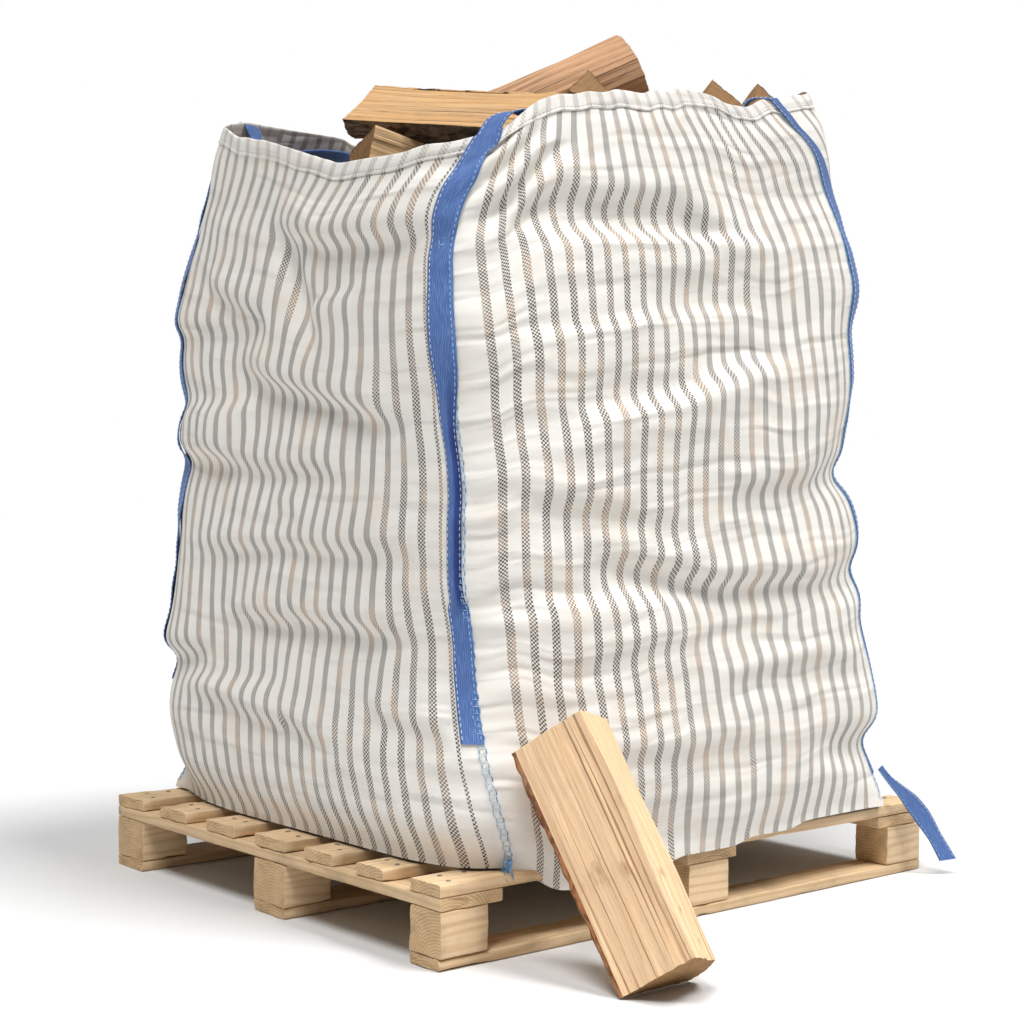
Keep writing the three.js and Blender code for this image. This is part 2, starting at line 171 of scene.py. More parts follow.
class MeshDraft:
    """Points, faces, UVs and finishes of one piece, gathered before its mesh is made."""

    def __init__(self) -> None:
        """Starts with no points."""
        self.points: list[np.ndarray] = []
        self.marks: list[np.ndarray] = []
        self.faces: list[list[int]] = []
        self.uvs: list[np.ndarray] = []
        self.finishes: list[int] = []
        self.total = 0

    def add(self, points: np.ndarray, faces: np.ndarray, uv: np.ndarray, finish: np.ndarray | int = 0,
            mark: np.ndarray | None = None) -> None:
        """Adds points and the faces between them.

        Args:
            points: Places, count by 3.
            faces: Numbers of each face's points, faces by corners.
            uv: UV at each face's corners, faces by corners by 2.
            finish: Material number of all faces, or of each.
            mark: Knots and stains on wood, and painted shade on webbing, at each point, 0 to 1.
        """
        self.points.append(points)
        self.marks.append(np.zeros(len(points)) if mark is None else mark)
        self.faces += (faces + self.total).tolist()
        self.uvs.append(uv.reshape(-1, 2))
        self.finishes += np.broadcast_to(finish, len(faces)).tolist()
        self.total += len(points)

    def add_grid(self, grid: np.ndarray, uv: np.ndarray, finish: np.ndarray | int = 0, closed: bool = False,
                 flip: bool = False, mark: np.ndarray | None = None) -> None:
        """Adds a grid of quads.

        Args:
            grid: Points, rows by columns by 3.
            uv: UV at each point, and one column more if closed.
            finish: Material number of all faces, or by row and column.
            closed: The last column joins the first.
            flip: The faces look the other way.
            mark: Knots and stains on wood, and painted shade on webbing, at each point, rows by columns.
        """
        rows, columns = grid.shape[:2]
        wide = columns if closed else columns - 1
        r, c = np.meshgrid(np.arange(rows - 1), np.arange(wide), indexing="ij")
        after = (c + 1) % columns
        faces = np.stack([r * columns + c, r * columns + after,
                          (r + 1) * columns + after, (r + 1) * columns + c], -1)
        corner = np.stack([uv[r, c], uv[r, c + 1], uv[r + 1, c + 1], uv[r + 1, c]], 2)
        if flip:
            faces, corner = faces[..., ::-1], corner[:, :, ::-1]
        each = finish.reshape(-1) if isinstance(finish, np.ndarray) else finish
        self.add(grid.reshape(-1, 3), faces.reshape(-1, 4), corner.reshape(-1, 4, 2), each,
                 None if mark is None else mark.reshape(-1))

    def add_tube(self, path: np.ndarray, radius: float, sides: int = 5, finish: int = 0,
                 squash: float = 1.0) -> None:
        """Adds a closed tube along a path.

        Args:
            path: Points, count by 3.
            radius: Half its thickness.
            sides: Points round it.
            finish: Material number.
            squash: Thickness across as a share of the other.
        """
        along = unit(np.gradient(path, axis=0))
        side = unit(np.cross(along, np.array([0.31, 0.22, 0.93])))
        up = np.cross(side, along)
        turn = np.arange(sides) / sides * TURN
        size = np.full(len(path), radius)
        size[0] = size[-1] = radius * 0.45
        ring = (np.cos(turn)[None, :, None] * side[:, None] + squash * np.sin(turn)[None, :, None]
                * up[:, None])
        grid = path[:, None] + ring * size[:, None, None]
        run = np.concatenate([[0], np.cumsum(np.linalg.norm(np.diff(path, axis=0), axis=1))])
        around = np.arange(sides + 1) / sides * TURN * radius
        uv = np.stack(np.meshgrid(run, around, indexing="ij"), -1)
        start = self.total
        self.add_grid(grid, uv, finish, closed=True)
        for ring_at, order in ((0, -1), (len(path) - 1, 1)):
            cap = (np.arange(sides)[::order] + start + ring_at * sides).tolist()
            self.faces.append(cap)
            self.uvs.append(np.zeros((sides, 2)))
            self.finishes.append(finish)

    def build(self, name: str, materials: list[bpy.types.Material],
              uv_name: str = "weave") -> bpy.types.Object:
        """Makes the piece.

        Args:
            name: The piece's name.
            materials: Its finishes, in the order of their numbers.
            uv_name: What its UV map is called.

        Returns:
            The new object, in the scene.
        """
        mesh = bpy.data.meshes.new(name)
        mesh.from_pydata(np.concatenate(self.points).tolist(), [], self.faces)
        layer = mesh.uv_layers.new(name=uv_name)
        layer.data.foreach_set("uv", np.concatenate(self.uvs).astype(np.float32).ravel())
        mark = mesh.attributes.new("mark", "FLOAT", "POINT")
        mark.data.foreach_set("value", np.concatenate(self.marks).astype(np.float32))
        mesh.polygons.foreach_set("material_index", self.finishes)
        mesh.shade_smooth()
        for material in materials:
            mesh.materials.append(material)
        piece = bpy.data.objects.new(name, mesh)
        bpy.context.scene.collection.objects.link(piece)
        return piece


def settle(piece: bpy.types.Object, slot: Slot | None, *nodes: str) -> bpy.types.Object:
    """Rides a piece on the body, and hides the CAD nodes it replaces.

    Args:
        piece: The finished piece.
        slot: The record's slot it takes its finish from; not used.
        nodes: The CAD nodes it replaces.

    Returns:
        The piece.
    """
    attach(piece, ROOT)
    if nodes:
        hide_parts(*nodes)
    LOG.info("%s: %d faces", piece.name, len(piece.data.polygons))
    return piece


# ---------------------------------------------------------------- shader graphs


class Graph:
    """A short way to write shader nodes."""

    def __init__(self, tree: bpy.types.NodeTree) -> None:
        """Works in a node tree."""
        self.tree = tree

    def node(self, kind: str, *inputs: object, **settings: object) -> bpy.types.Node:
        """Adds a node.

        Args:
            kind: Its type without the ShaderNode prefix.
            inputs: What goes into its first inputs: sockets, values, or None to leave one.
            settings: Its properties.

        Returns:
            The node.
        """
        made = self.tree.nodes.new("ShaderNode" + kind)
        for name, value in settings.items():
            setattr(made, name, value)
        for socket, value in zip([s for s in made.inputs if s.enabled], inputs):
            self.feed(socket, value)
        return made

    def feed(self, socket: bpy.types.NodeSocket, value: object) -> None:
        """Links a socket into another, or sets its value."""
        if isinstance(value, bpy.types.NodeSocket):
            self.tree.links.new(value, socket)
        elif value is not None:
            socket.default_value = value

    def math(self, operation: str, *values: object, clamp: bool = False) -> bpy.types.NodeSocket:
        """One Math node's result."""
        return self.node("Math", *values, operation=operation, use_clamp=clamp).outputs[0]

    def span(self, value: object, low: float, high: float, to_low: float = 0.0,
             to_high: float = 1.0) -> bpy.types.NodeSocket:
        """A value's range mapped to another, clamped."""
        return self.node("MapRange", value, low, high, to_low, to_high,
                         interpolation_type="SMOOTHSTEP").outputs[0]

    def mix(self, share: object, a: object, b: object, blend: str = "MIX") -> bpy.types.NodeSocket:
        """Two colours mixed."""
        made = self.tree.nodes.new("ShaderNodeMix")
        made.data_type, made.blend_type = "RGBA", blend
        for socket, value in ((made.inputs[0], share), (made.inputs[6], a), (made.inputs[7], b)):
            self.feed(socket, value)
        return made.outputs[2]

    def stretch(self, vector: object, scale: tuple[float, float, float], turn: float = 0.0,
                shift: tuple[float, float, float] = (0, 0, 0)) -> bpy.types.NodeSocket:
        """Coordinates scaled, turned about the third axis and shifted."""
        return self.node("Mapping", vector, shift, (0.0, 0.0, turn), scale).outputs[0]

    def noise(self, vector: object, scale: float, detail: float = 4.0, rough: float = 0.55, warp: float = 0.0,
              colour: bool = False) -> bpy.types.NodeSocket:
        """A Noise Texture's value, or its colour."""
        made = self.tree.nodes.new("ShaderNodeTexNoise")
        self.feed(made.inputs["Vector"], vector)
        for name, value in (("Scale", scale), ("Detail", detail), ("Roughness", rough), ("Distortion", warp)):
            made.inputs[name].default_value = value
        return made.outputs["Color" if colour else "Fac"]

    def ramp(self, share: object, *stops: tuple[float, tuple[float, float, float]]) -> bpy.types.NodeSocket:
        """A colour ramp's colour."""
        made = self.node("ValToRGB", share)
        band = made.color_ramp.elements
        while len(band) < len(stops):
            band.new(0.5)
        for element, (place, colour) in zip(band, stops):
            element.position, element.color = place, (*colour, 1.0)
        return made.outputs[0]

    def uv(self, name: str) -> bpy.types.NodeSocket:
        """A UV map's coordinates."""
        return self.node("UVMap", uv_map=name).outputs[0]

    def parts(self, vector: object) -> tuple[bpy.types.NodeSocket, ...]:
        """A vector's three numbers."""
        return tuple(self.node("SeparateXYZ", vector).outputs)

    def attribute(self, name: str) -> bpy.types.NodeSocket:
        """A mesh attribute's number."""
        return self.node("Attribute", attribute_name=name).outputs["Fac"]

    def group(self, tree: bpy.types.NodeTree, **values: object) -> bpy.types.Node:
        """Places a node group, with its named inputs set."""
        made = self.tree.nodes.new("ShaderNodeGroup")
        made.node_tree = tree
        for name, value in values.items():
            self.feed(made.inputs[name], value)
        return made


class Effects:
    """The shader node groups that more than one finish uses, each built once."""

    def __init__(self) -> None:
        """Builds them all."""
        self.fibre = self._fibre()
        self.weave = self._weave()
        self.grime = self._grime()

    @staticmethod
    def _new(name: str, inputs: dict[str, object],
             outputs: dict[str, str]) -> tuple[bpy.types.NodeTree, Graph, dict]:
        """Starts a group.

        Args:
            name: The group's name.
            inputs: Its inputs' names and default values, None for a vector.
            outputs: Its outputs' names and kinds.

        Returns:
            The group, a graph that writes in it, and its input sockets by name.
        """
        tree = bpy.data.node_groups.new(name, "ShaderNodeTree")
        for key, value in inputs.items():
            kind = ("NodeSocketVector" if value is None
                    else "NodeSocketColor" if isinstance(value, tuple) else "NodeSocketFloat")
            made = tree.interface.new_socket(name=key, in_out="INPUT", socket_type=kind)
            if value is not None:
                made.default_value = value
        for key, kind in outputs.items():
            tree.interface.new_socket(name=key, in_out="OUTPUT", socket_type="NodeSocket" + kind)
        return tree, Graph(tree), dict(tree.nodes.new("NodeGroupInput").outputs.items())

    @staticmethod
    def _end(tree: bpy.types.NodeTree, graph: Graph, *results: bpy.types.NodeSocket) -> bpy.types.NodeTree:
        """Joins a group's results to its outputs and returns it."""
        out = tree.nodes.new("NodeGroupOutput")
        for socket, result in zip(out.inputs, results):
            graph.feed(socket, result)
        return tree

    def _fibre(self) -> bpy.types.NodeTree:
        """Wood fibre that runs along the first coordinate: growth bands, pores and fine streaks."""
        tree, g, i = self._new("wood_fibre", {"Vector": None, "Bands": 34.0, "Wave": 1.0},
                               {"Bands": "Float", "Pores": "Float", "Streaks": "Float", "Height": "Float"})
        bend = g.noise(g.stretch(i["Vector"], (2.2, 9.0, 9.0)), 1.0, 2.0)
        x, y, _ = g.parts(i["Vector"])
        across = g.math("ADD", y,
                        g.math("MULTIPLY", g.math("SUBTRACT", bend, 0.5),
                               g.math("MULTIPLY", i["Wave"], 0.05)))
        phase = g.math("MULTIPLY", across, g.math("MULTIPLY", i["Bands"], TURN))
        wobble = g.math("MULTIPLY", g.noise(g.stretch(i["Vector"], (1.5, 30.0, 30.0)), 1.0, 2.0), 5.0)
        bands = g.math("MULTIPLY_ADD", g.math("SINE", g.math("ADD", phase, wobble)), 0.5, 0.5)
        pores = g.span(g.noise(g.stretch(i["Vector"], (26.0, 620.0, 620.0)), 1.0, 2.0, 0.7), 0.55, 0.72)
        streaks = g.noise(g.stretch(i["Vector"], (3.0, 130.0, 130.0)), 1.0, 5.0, 0.65)
        height = g.math("MULTIPLY_ADD", streaks, 0.8, g.math("MULTIPLY", pores, -0.35))
        return self._end(tree, g, bands, pores, streaks, height)

    def _weave(self) -> bpy.types.NodeTree:
        """Flat tapes woven over and under, and the shade where one goes under."""
        tree, g, i = self._new("tape_weave", {"Vector": None, "Pitch": 0.0022, "Lean": 0.0},
                               {"Height": "Float", "Shade": "Float"})
        x, y, _ = g.parts(i["Vector"])
        leaning = g.math("ADD", x, g.math("MULTIPLY", y, i["Lean"]))
        over = g.math("SINE", g.math("DIVIDE", g.math("MULTIPLY", leaning, TURN), i["Pitch"]))
        under = g.math("SINE", g.math("DIVIDE", g.math("MULTIPLY", y, TURN), i["Pitch"]))
        height = g.math("MULTIPLY_ADD", g.math("MULTIPLY", over, under), 0.5, 0.5)
        shade = g.math("MULTIPLY_ADD", g.noise(g.stretch(i["Vector"], (60.0, 900.0, 60.0)), 1.0, 2.0), 0.5,
                       g.math("MULTIPLY", height, 0.5))
        return self._end(tree, g, height, shade)

    def _grime(self) -> bpy.types.NodeTree:
        """Soft dirt: wide patches and small specks."""
        tree, g, i = self._new("grime", {"Vector": None, "Size": 6.0, "Amount": 0.5},
                               {"Patches": "Float", "Specks": "Float"})
        scaled = g.tree.nodes.new("ShaderNodeVectorMath")
        scaled.operation = "SCALE"
        g.feed(scaled.inputs[0], i["Vector"])
        g.feed(scaled.inputs["Scale"], i["Size"])
        wide = g.noise(scaled.outputs[0], 1.0, 5.0, 0.6)
        patches = g.math("MULTIPLY", g.span(wide, 0.42, 0.75), i["Amount"])
        specks = g.math("MULTIPLY", g.span(g.noise(scaled.outputs[0], 22.0, 2.0), 0.66, 0.74), i["Amount"])
        return self._end(tree, g, patches, specks)


def new_material(name: str, roughness: float, sheen: float = 0.0, metal: float = 0.0,
                 specular: float = 0.35) -> tuple[bpy.types.Material, Graph, bpy.types.Node]:
    """Starts a material.

    Args:
        name: Its name.
        roughness: Its roughness where nothing else sets it.
        sheen: Its soft edge sheen.
        metal: 1 for metal.
        specular: How much it reflects straight on.

    Returns:
        The material, a graph that writes in it, and its Principled shader.
    """
    material = bpy.data.materials.new(name)
    material.use_nodes = True
    shader = material.node_tree.nodes["Principled BSDF"]
    for key, value in (("Roughness", roughness), ("Sheen Weight", sheen), ("Metallic", metal),
                       ("Specular IOR Level", specular)):
        shader.inputs[key].default_value = value
    return material, Graph(material.node_tree), shader


def relief(g: Graph, shader: bpy.types.Node, *layers: tuple[object, float, float]) -> None:
    """Stacks Bump nodes into a shader's Normal.

    Args:
        g: The material's graph.
        shader: Its Principled shader.
        layers: Height, strength and depth in metres of each, coarse first.
    """
    below = None
    for height, strength, depth in layers:
        bump = g.tree.nodes.new("ShaderNodeBump")
        bump.inputs["Strength"].default_value = strength
        bump.inputs["Distance"].default_value = depth
        g.feed(bump.inputs["Height"], height)
        if below is not None:
            g.feed(bump.inputs["Normal"], below)
        below = bump.outputs[0]
    g.feed(shader.inputs["Normal"], below)


@dataclass(frozen=True)
class ClothFinish:
    """Off-white woven plastic tape cloth with open vent stripes painted with what lies behind them: the logs,
    and painted shade of the bag's dark inside.
    """

    name: str = "vented_cloth"
    pitch: float = 0.0385
    stripe: float = 0.0145
    cell: float = 0.0034
    stride: float = 2.0
    plain: tuple[float, float] = (0.042, 0.918)
    pale: tuple[float, float, float] = (0.80, 0.775, 0.725)
    warm: tuple[float, float, float] = (0.66, 0.58, 0.49)
    fade: float = 1.0

    def build(self, effects: Effects) -> bpy.types.Material:
        """Makes the material."""
        m, g, shader = new_material(self.name, 0.72, sheen=0.08, specular=0.25)
        uv = g.uv("weave")
        x, y, _ = g.parts(uv)
        wander = g.math("MULTIPLY",
                        g.math("SUBTRACT", g.noise(g.stretch(uv, (30.0, 6.0, 1.0)), 1.0, 1.0), 0.5), 0.004)
        place = g.math("PINGPONG", g.math("ADD", x, g.math("ADD", wander, 0.0105)), self.pitch / 2)
        half = self.stripe / 2
        inside = g.math("MODULO", x, self.stride)
        plain = g.math("MULTIPLY", g.math("GREATER_THAN", inside, self.plain[0]),
                       g.math("LESS_THAN", inside, self.plain[1]))
        stripe = g.math("MULTIPLY", g.span(place, half - 0.0006, half + 0.0006, 1.0, 0.0), plain)
        checker = g.node("TexChecker", g.stretch(uv, (1 / self.cell, 1 / self.cell, 1.0)), None, None,
                         1.0).outputs["Fac"]
        seen = g.noise(g.stretch(uv, (19.0, 9.0, 1.0)), 1.0, 3.0, 0.6)
        # What shows through the open vents: the brown and tan stops are the logs behind, and the darkest
        # stops are painted shade of the bag's inside between them.
        behind = g.ramp(seen, (0.30, (0.040, 0.033, 0.027)), (0.47, (0.085, 0.066, 0.050)),
                        (0.55, (0.20, 0.135, 0.085)),
                        (0.62, (0.38, 0.245, 0.145)), (0.74, (0.30, 0.26, 0.22)))
        behind.node.color_ramp.interpolation = "LINEAR"
        streak = g.noise(g.stretch(uv, (7.0, 420.0, 1.0)), 1.0, 3.0, 0.7)
        soft = g.group(effects.grime, Vector=uv, Size=5.0, Amount=0.8)
        cloth = g.mix(g.math("MULTIPLY", soft.outputs["Patches"], 0.22), (*self.pale, 1), (*self.warm, 1))
        cloth = g.mix(g.span(streak, 0.30, 0.72, 0.0, 0.14), cloth, (0.93, 0.92, 0.89, 1))
        cloth = g.mix(g.span(seen, 0.52, 0.66, 0.0, 0.16), cloth, (0.74, 0.58, 0.42, 1))
        tapes = g.mix(0.5, cloth, behind)
        open_share = g.math("MULTIPLY", checker,
                            g.span(g.noise(g.stretch(uv, (120.0, 26.0, 1.0)), 1.0, 2.0), 0.25, 0.5, 0.80,
                                   1.0))
        vent = g.mix(open_share, g.mix(0.80, tapes, cloth), behind)
        colour = g.mix(g.math("MULTIPLY", stripe, self.fade), cloth, vent)
        dirt = g.math("MULTIPLY", soft.outputs["Specks"], 0.30)
        g.feed(shader.inputs["Base Color"], g.mix(dirt, colour, (0.42, 0.34, 0.26, 1)))
        weave = g.group(effects.weave, Vector=uv, Pitch=0.0023)
        g.feed(shader.inputs["Roughness"], g.span(weave.outputs["Shade"], 0.0, 1.0, 0.62, 0.82))
        crumple = g.noise(g.stretch(uv, (4.5, 25.0, 1.0)), 1.0, 1.2, 0.5, 0.4)
        relief(g, shader, (crumple, 1.0, 0.014),
               (g.math("MULTIPLY", stripe, g.math("SUBTRACT", 1.0, checker)), 0.45, 0.0008),
               (weave.outputs["Height"], 0.5, 0.0003))
        return m


@dataclass(frozen=True)
class WebbingFinish:
    """Royal blue twill webbing with a paler stitched edge, and painted shade in its twill's hollows, folds
    and loop undersides.
    """

    name: str = "blue_webbing"
    blue: tuple[float, float, float] = (0.080, 0.175, 0.45)
    # The blue seen in shadow: painted shade for the twill's hollows.
    hollow_shade_blue: tuple[float, float, float] = (0.028, 0.062, 0.23)

    def build(self, effects: Effects) -> bpy.types.Material:
        """Makes the material."""
        m, g, shader = new_material(self.name, 0.6, sheen=0.15, specular=0.3)
        uv = g.uv("weave")
        twill = g.group(effects.weave, Vector=uv, Pitch=0.0042, Lean=0.8)
        grime = g.group(effects.grime, Vector=uv, Size=14.0, Amount=0.6)
        lines = g.noise(g.stretch(uv, (900.0, 40.0, 1.0), 0.9), 1.0, 2.0)
        # Painted shade: the twill's hollows are mixed towards the shadow blue.
        colour = g.mix(g.span(twill.outputs["Height"], 0.1, 0.7), (*self.hollow_shade_blue, 1), (*self.blue, 1))
        colour = g.mix(g.span(lines, 0.42, 0.72, 0.0, 0.6), colour, (0.20, 0.34, 0.66, 1))
        colour = g.mix(g.math("MULTIPLY", grime.outputs["Patches"], 0.35), colour, (0.06, 0.10, 0.28, 1))
        # Painted shade: the mark attribute darkens the folded strap's far half and the loop's underside to
        # navy.
        colour = g.mix(g.attribute("mark"), colour, (0.012, 0.030, 0.17, 1))
        g.feed(shader.inputs["Base Color"], colour)
        g.feed(shader.inputs["Roughness"], g.span(twill.outputs["Shade"], 0.0, 1.0, 0.5, 0.75))
        relief(g, shader, (lines, 0.4, 0.0008), (twill.outputs["Height"], 0.8, 0.0006))
        return m


@dataclass(frozen=True)
class ThreadFinish:
    """Twisted sewing thread."""

    name: str
    colour: tuple[float, float, float]
    shade: tuple[float, float, float]

    def build(self, effects: Effects) -> bpy.types.Material:
        """Makes the material."""
        m, g, shader = new_material(self.name, 0.55, sheen=0.2, specular=0.3)
        uv = g.uv("weave")
        twist = g.group(effects.weave, Vector=uv, Pitch=0.0016, Lean=1.0)
        g.feed(shader.inputs["Base Color"],
               g.mix(g.span(twist.outputs["Height"], 0.2, 0.8), (*self.shade, 1), (*self.colour, 1)))
        relief(g, shader, (twist.outputs["Height"], 0.6, 0.0003))
        return m


@dataclass(frozen=True)
class SplitWoodFinish:
    """A face split along the grain, pale and fibrous."""

    name: str
    pale: tuple[float, float, float] = (0.70, 0.44, 0.215)
    dark: tuple[float, float, float] = (0.44, 0.225, 0.085)
    stain: tuple[float, float, float] = (0.10, 0.048, 0.022)
    bands: float = 34.0
    wave: float = 1.0
    staining: float = 0.5
    grey: float = 0.15
    splits: float = 0.6

    def build(self, effects: Effects) -> bpy.types.Material:
        """Makes the material."""
        m, g, shader = new_material(self.name, 0.7, specular=0.28)
        uv = g.uv("grain")
        fibre = g.group(effects.fibre, Vector=uv, Bands=self.bands, Wave=self.wave)
        grime = g.group(effects.grime, Vector=g.stretch(uv, (1.0, 3.0, 1.0)), Size=7.0, Amount=1.0)
        tone = g.noise(g.stretch(uv, (3.0, 11.0, 1.0)), 1.0, 3.0)
        colour = g.mix(g.span(fibre.outputs["Bands"], 0.1, 1.0, 0.0, 0.42), (*self.pale, 1), (*self.dark, 1))
        colour = g.mix(g.span(tone, 0.35, 0.7, 0.0, 0.5), colour,
                       (*(0.5 * (a + b) for a, b in zip(self.pale, self.dark)), 1))
        colour = g.mix(g.span(fibre.outputs["Streaks"], 0.46, 0.70, 0.0, 0.55), colour, (*self.dark, 1))
        colour = g.mix(g.span(fibre.outputs["Streaks"], 0.52, 0.30, 0.0, 0.35), colour,
                       (*(min(1.0, 1.22 * c) for c in self.pale), 1))
        colour = g.mix(g.math("MULTIPLY", fibre.outputs["Pores"], 0.30), colour, (*self.stain, 1))
        splits = g.span(g.noise(g.stretch(uv, (1.9, 210.0, 1.0)), 1.0, 2.0, 0.5, 0.3), 0.60, 0.66)
        colour = g.mix(g.math("MULTIPLY", splits, self.splits), colour, (*self.stain, 1))
        rare = g.span(g.noise(g.stretch(uv, (5.0, 60.0, 1.0)), 1.0, 4.0, 0.7), 0.60, 0.70)
        colour = g.mix(g.math("MULTIPLY", rare, self.staining), colour, (*self.stain, 1))
        colour = g.mix(g.math("MULTIPLY", grime.outputs["Patches"], self.grey), colour, (0.33, 0.27, 0.20, 1))
        colour = g.mix(g.attribute("mark"), colour, (*(1.15 * c for c in self.stain), 1))
        g.feed(shader.inputs["Base Color"], colour)
        g.feed(shader.inputs["Roughness"], g.span(fibre.outputs["Streaks"], 0.3, 0.7, 0.58, 0.82))
        relief(g, shader, (g.math("MULTIPLY_ADD", splits, -0.8, fibre.outputs["Streaks"]), 0.8, 0.0024),
               (fibre.outputs["Height"], 0.7, 0.0009))
        return m


@dataclass(frozen=True)
class SawnEndFinish:
    """A sawn end: growth rings about the pith, saw marks and drying cracks."""

    name: str
    pale: tuple[float, float, float] = (0.42, 0.245, 0.115)
    dark: tuple[float, float, float] = (0.20, 0.10, 0.042)
    ring: float = 0.0042

    def build(self, effects: Effects) -> bpy.types.Material:
        """Makes the material."""
        m, g, shader = new_material(self.name, 0.82, specular=0.2)
        uv = g.uv("grain")
        far = g.node("VectorMath", uv, operation="LENGTH").outputs["Value"]
        bend = g.math("MULTIPLY", g.noise(uv, 18.0, 2.0), 0.012)
        rings = g.math("MULTIPLY_ADD",
                       g.math("SINE", g.math("MULTIPLY", g.math("ADD", far, bend), TURN / self.ring)), 0.5,
                       0.5)
        saw = g.noise(g.stretch(uv, (14.0, 700.0, 1.0), 0.5), 1.0, 3.0, 0.6)
        grime = g.group(effects.grime, Vector=uv, Size=16.0, Amount=1.0)
        colour = g.mix(g.span(rings, 0.2, 1.0, 0.0, 0.6), (*self.pale, 1), (*self.dark, 1))
        colour = g.mix(g.span(saw, 0.4, 0.7, 0.0, 0.5), colour, (*self.dark, 1))
        colour = g.mix(g.math("MULTIPLY", grime.outputs["Patches"], 0.45), colour, (0.12, 0.08, 0.05, 1))
        colour = g.mix(g.attribute("mark"), colour, (0.05, 0.03, 0.018, 1))
        g.feed(shader.inputs["Base Color"], colour)
        g.feed(shader.inputs["Roughness"], g.span(saw, 0.3, 0.7, 0.7, 0.92))
        relief(g, shader, (saw, 0.6, 0.0012), (rings, 0.3, 0.0006))
        return m


@dataclass(frozen=True)
class BarkFinish:
    """Rough dark bark with grey lichen and reddish cracks."""

    name: str = "log_bark"
    ridge: tuple[float, float, float] = (0.19, 0.135, 0.09)
    crack: tuple[float, float, float] = (0.028, 0.017, 0.010)

    def build(self, effects: Effects) -> bpy.types.Material:
        """Makes the material."""
        m, g, shader = new_material(self.name, 0.92, specular=0.15)
        uv = g.uv("grain")
        coarse = g.noise(g.stretch(uv, (28.0, 75.0, 1.0)), 1.0, 5.0, 0.65, 0.8)
        fine = g.noise(g.stretch(uv, (120.0, 260.0, 1.0)), 1.0, 3.0, 0.6)
        grime = g.group(effects.grime, Vector=uv, Size=12.0, Amount=1.0)
        colour = g.mix(g.span(coarse, 0.38, 0.62), (*self.crack, 1), (*self.ridge, 1))
        colour = g.mix(g.span(fine, 0.5, 0.75, 0.0, 0.5), colour, (0.33, 0.24, 0.16, 1))
        colour = g.mix(g.math("MULTIPLY", grime.outputs["Patches"], 0.4), colour, (0.26, 0.23, 0.19, 1))
        colour = g.mix(g.attribute("mark"), colour, (0.16, 0.055, 0.025, 1))
        g.feed(shader.inputs["Base Color"], colour)
        g.feed(shader.inputs["Roughness"], g.span(fine, 0.3, 0.7, 0.85, 0.97))
        relief(g, shader, (coarse, 0.9, 0.004), (fine, 0.6, 0.0012))
        return m


@dataclass(frozen=True)
class PineFinish:
    """Sawn pallet pine with knots, grain lines and dirt."""

    name: str
    pale: tuple[float, float, float] = (0.72, 0.53, 0.30)
    dark: tuple[float, float, float] = (0.50, 0.315, 0.14)
    dirt: float = 0.35
    knots: float = 9.0

    def build(self, effects: Effects) -> bpy.types.Material:
        """Makes the material."""
        m, g, shader = new_material(self.name, 0.75, specular=0.25)
        uv = g.uv("grain")
        cells = g.node("TexVoronoi", g.stretch(uv, (0.62, 1.0, 1.0)), None, self.knots)
        knot = g.span(cells.outputs["Distance"], 0.05, 0.13, 1.0, 0.0)
        ringed = g.math("MULTIPLY_ADD", g.math("SINE", g.math("MULTIPLY", cells.outputs["Distance"], 160.0)),
                        0.5, 0.5)
        near = g.span(cells.outputs["Distance"], 0.06, 0.24, 0.020, 0.0)
        x, y, z = g.parts(uv)
        swerved = g.node("CombineXYZ", x, g.math("ADD", y, near), z).outputs[0]
        fibre = g.group(effects.fibre, Vector=swerved, Bands=62.0, Wave=1.3)
        grime = g.group(effects.grime, Vector=uv, Size=9.0, Amount=1.0)
        chosen = g.span(g.parts(cells.outputs["Color"])[0], 0.66, 0.70)
        colour = g.mix(g.span(fibre.outputs["Bands"], 0.35, 1.0, 0.0, 0.42), (*self.pale, 1), (*self.dark, 1))
        colour = g.mix(g.span(fibre.outputs["Streaks"], 0.5, 0.75, 0.0, 0.45), colour, (*self.dark, 1))
        kernel = g.mix(g.math("MULTIPLY", ringed, 0.5), (0.24, 0.105, 0.04, 1), (0.11, 0.05, 0.022, 1))
        colour = g.mix(g.math("MULTIPLY", g.math("MULTIPLY", knot, chosen), 0.85), colour, kernel)
        colour = g.mix(g.math("MULTIPLY", grime.outputs["Patches"], self.dirt), colour, (0.26, 0.20, 0.14, 1))
        colour = g.mix(g.math("MULTIPLY", grime.outputs["Specks"], 0.35), colour, (0.16, 0.11, 0.07, 1))
        colour = g.mix(g.attribute("mark"), colour, (0.13, 0.085, 0.05, 1))
        g.feed(shader.inputs["Base Color"], colour)
        g.feed(shader.inputs["Roughness"], g.span(fibre.outputs["Streaks"], 0.3, 0.7, 0.62, 0.86))
        relief(g, shader, (fibre.outputs["Streaks"], 0.5, 0.0012), (fibre.outputs["Height"], 0.5, 0.0006))
        return m


@dataclass(frozen=True)
class NailFinish:
    """Dull steel nail heads with a little rust."""

    name: str = "nail_steel"

    def build(self, effects: Effects) -> bpy.types.Material:
        """Makes the material."""
        m, g, shader = new_material(self.name, 0.5, metal=0.8)
        place = g.node("TexCoord").outputs["Object"]
        rust = g.group(effects.grime, Vector=place, Size=160.0, Amount=1.0)
        g.feed(shader.inputs["Base Color"],
               g.mix(rust.outputs["Patches"], (0.30, 0.29, 0.28, 1), (0.17, 0.075, 0.03, 1)))
        g.feed(shader.inputs["Roughness"], g.span(rust.outputs["Patches"], 0.0, 1.0, 0.42, 0.85))
        return m


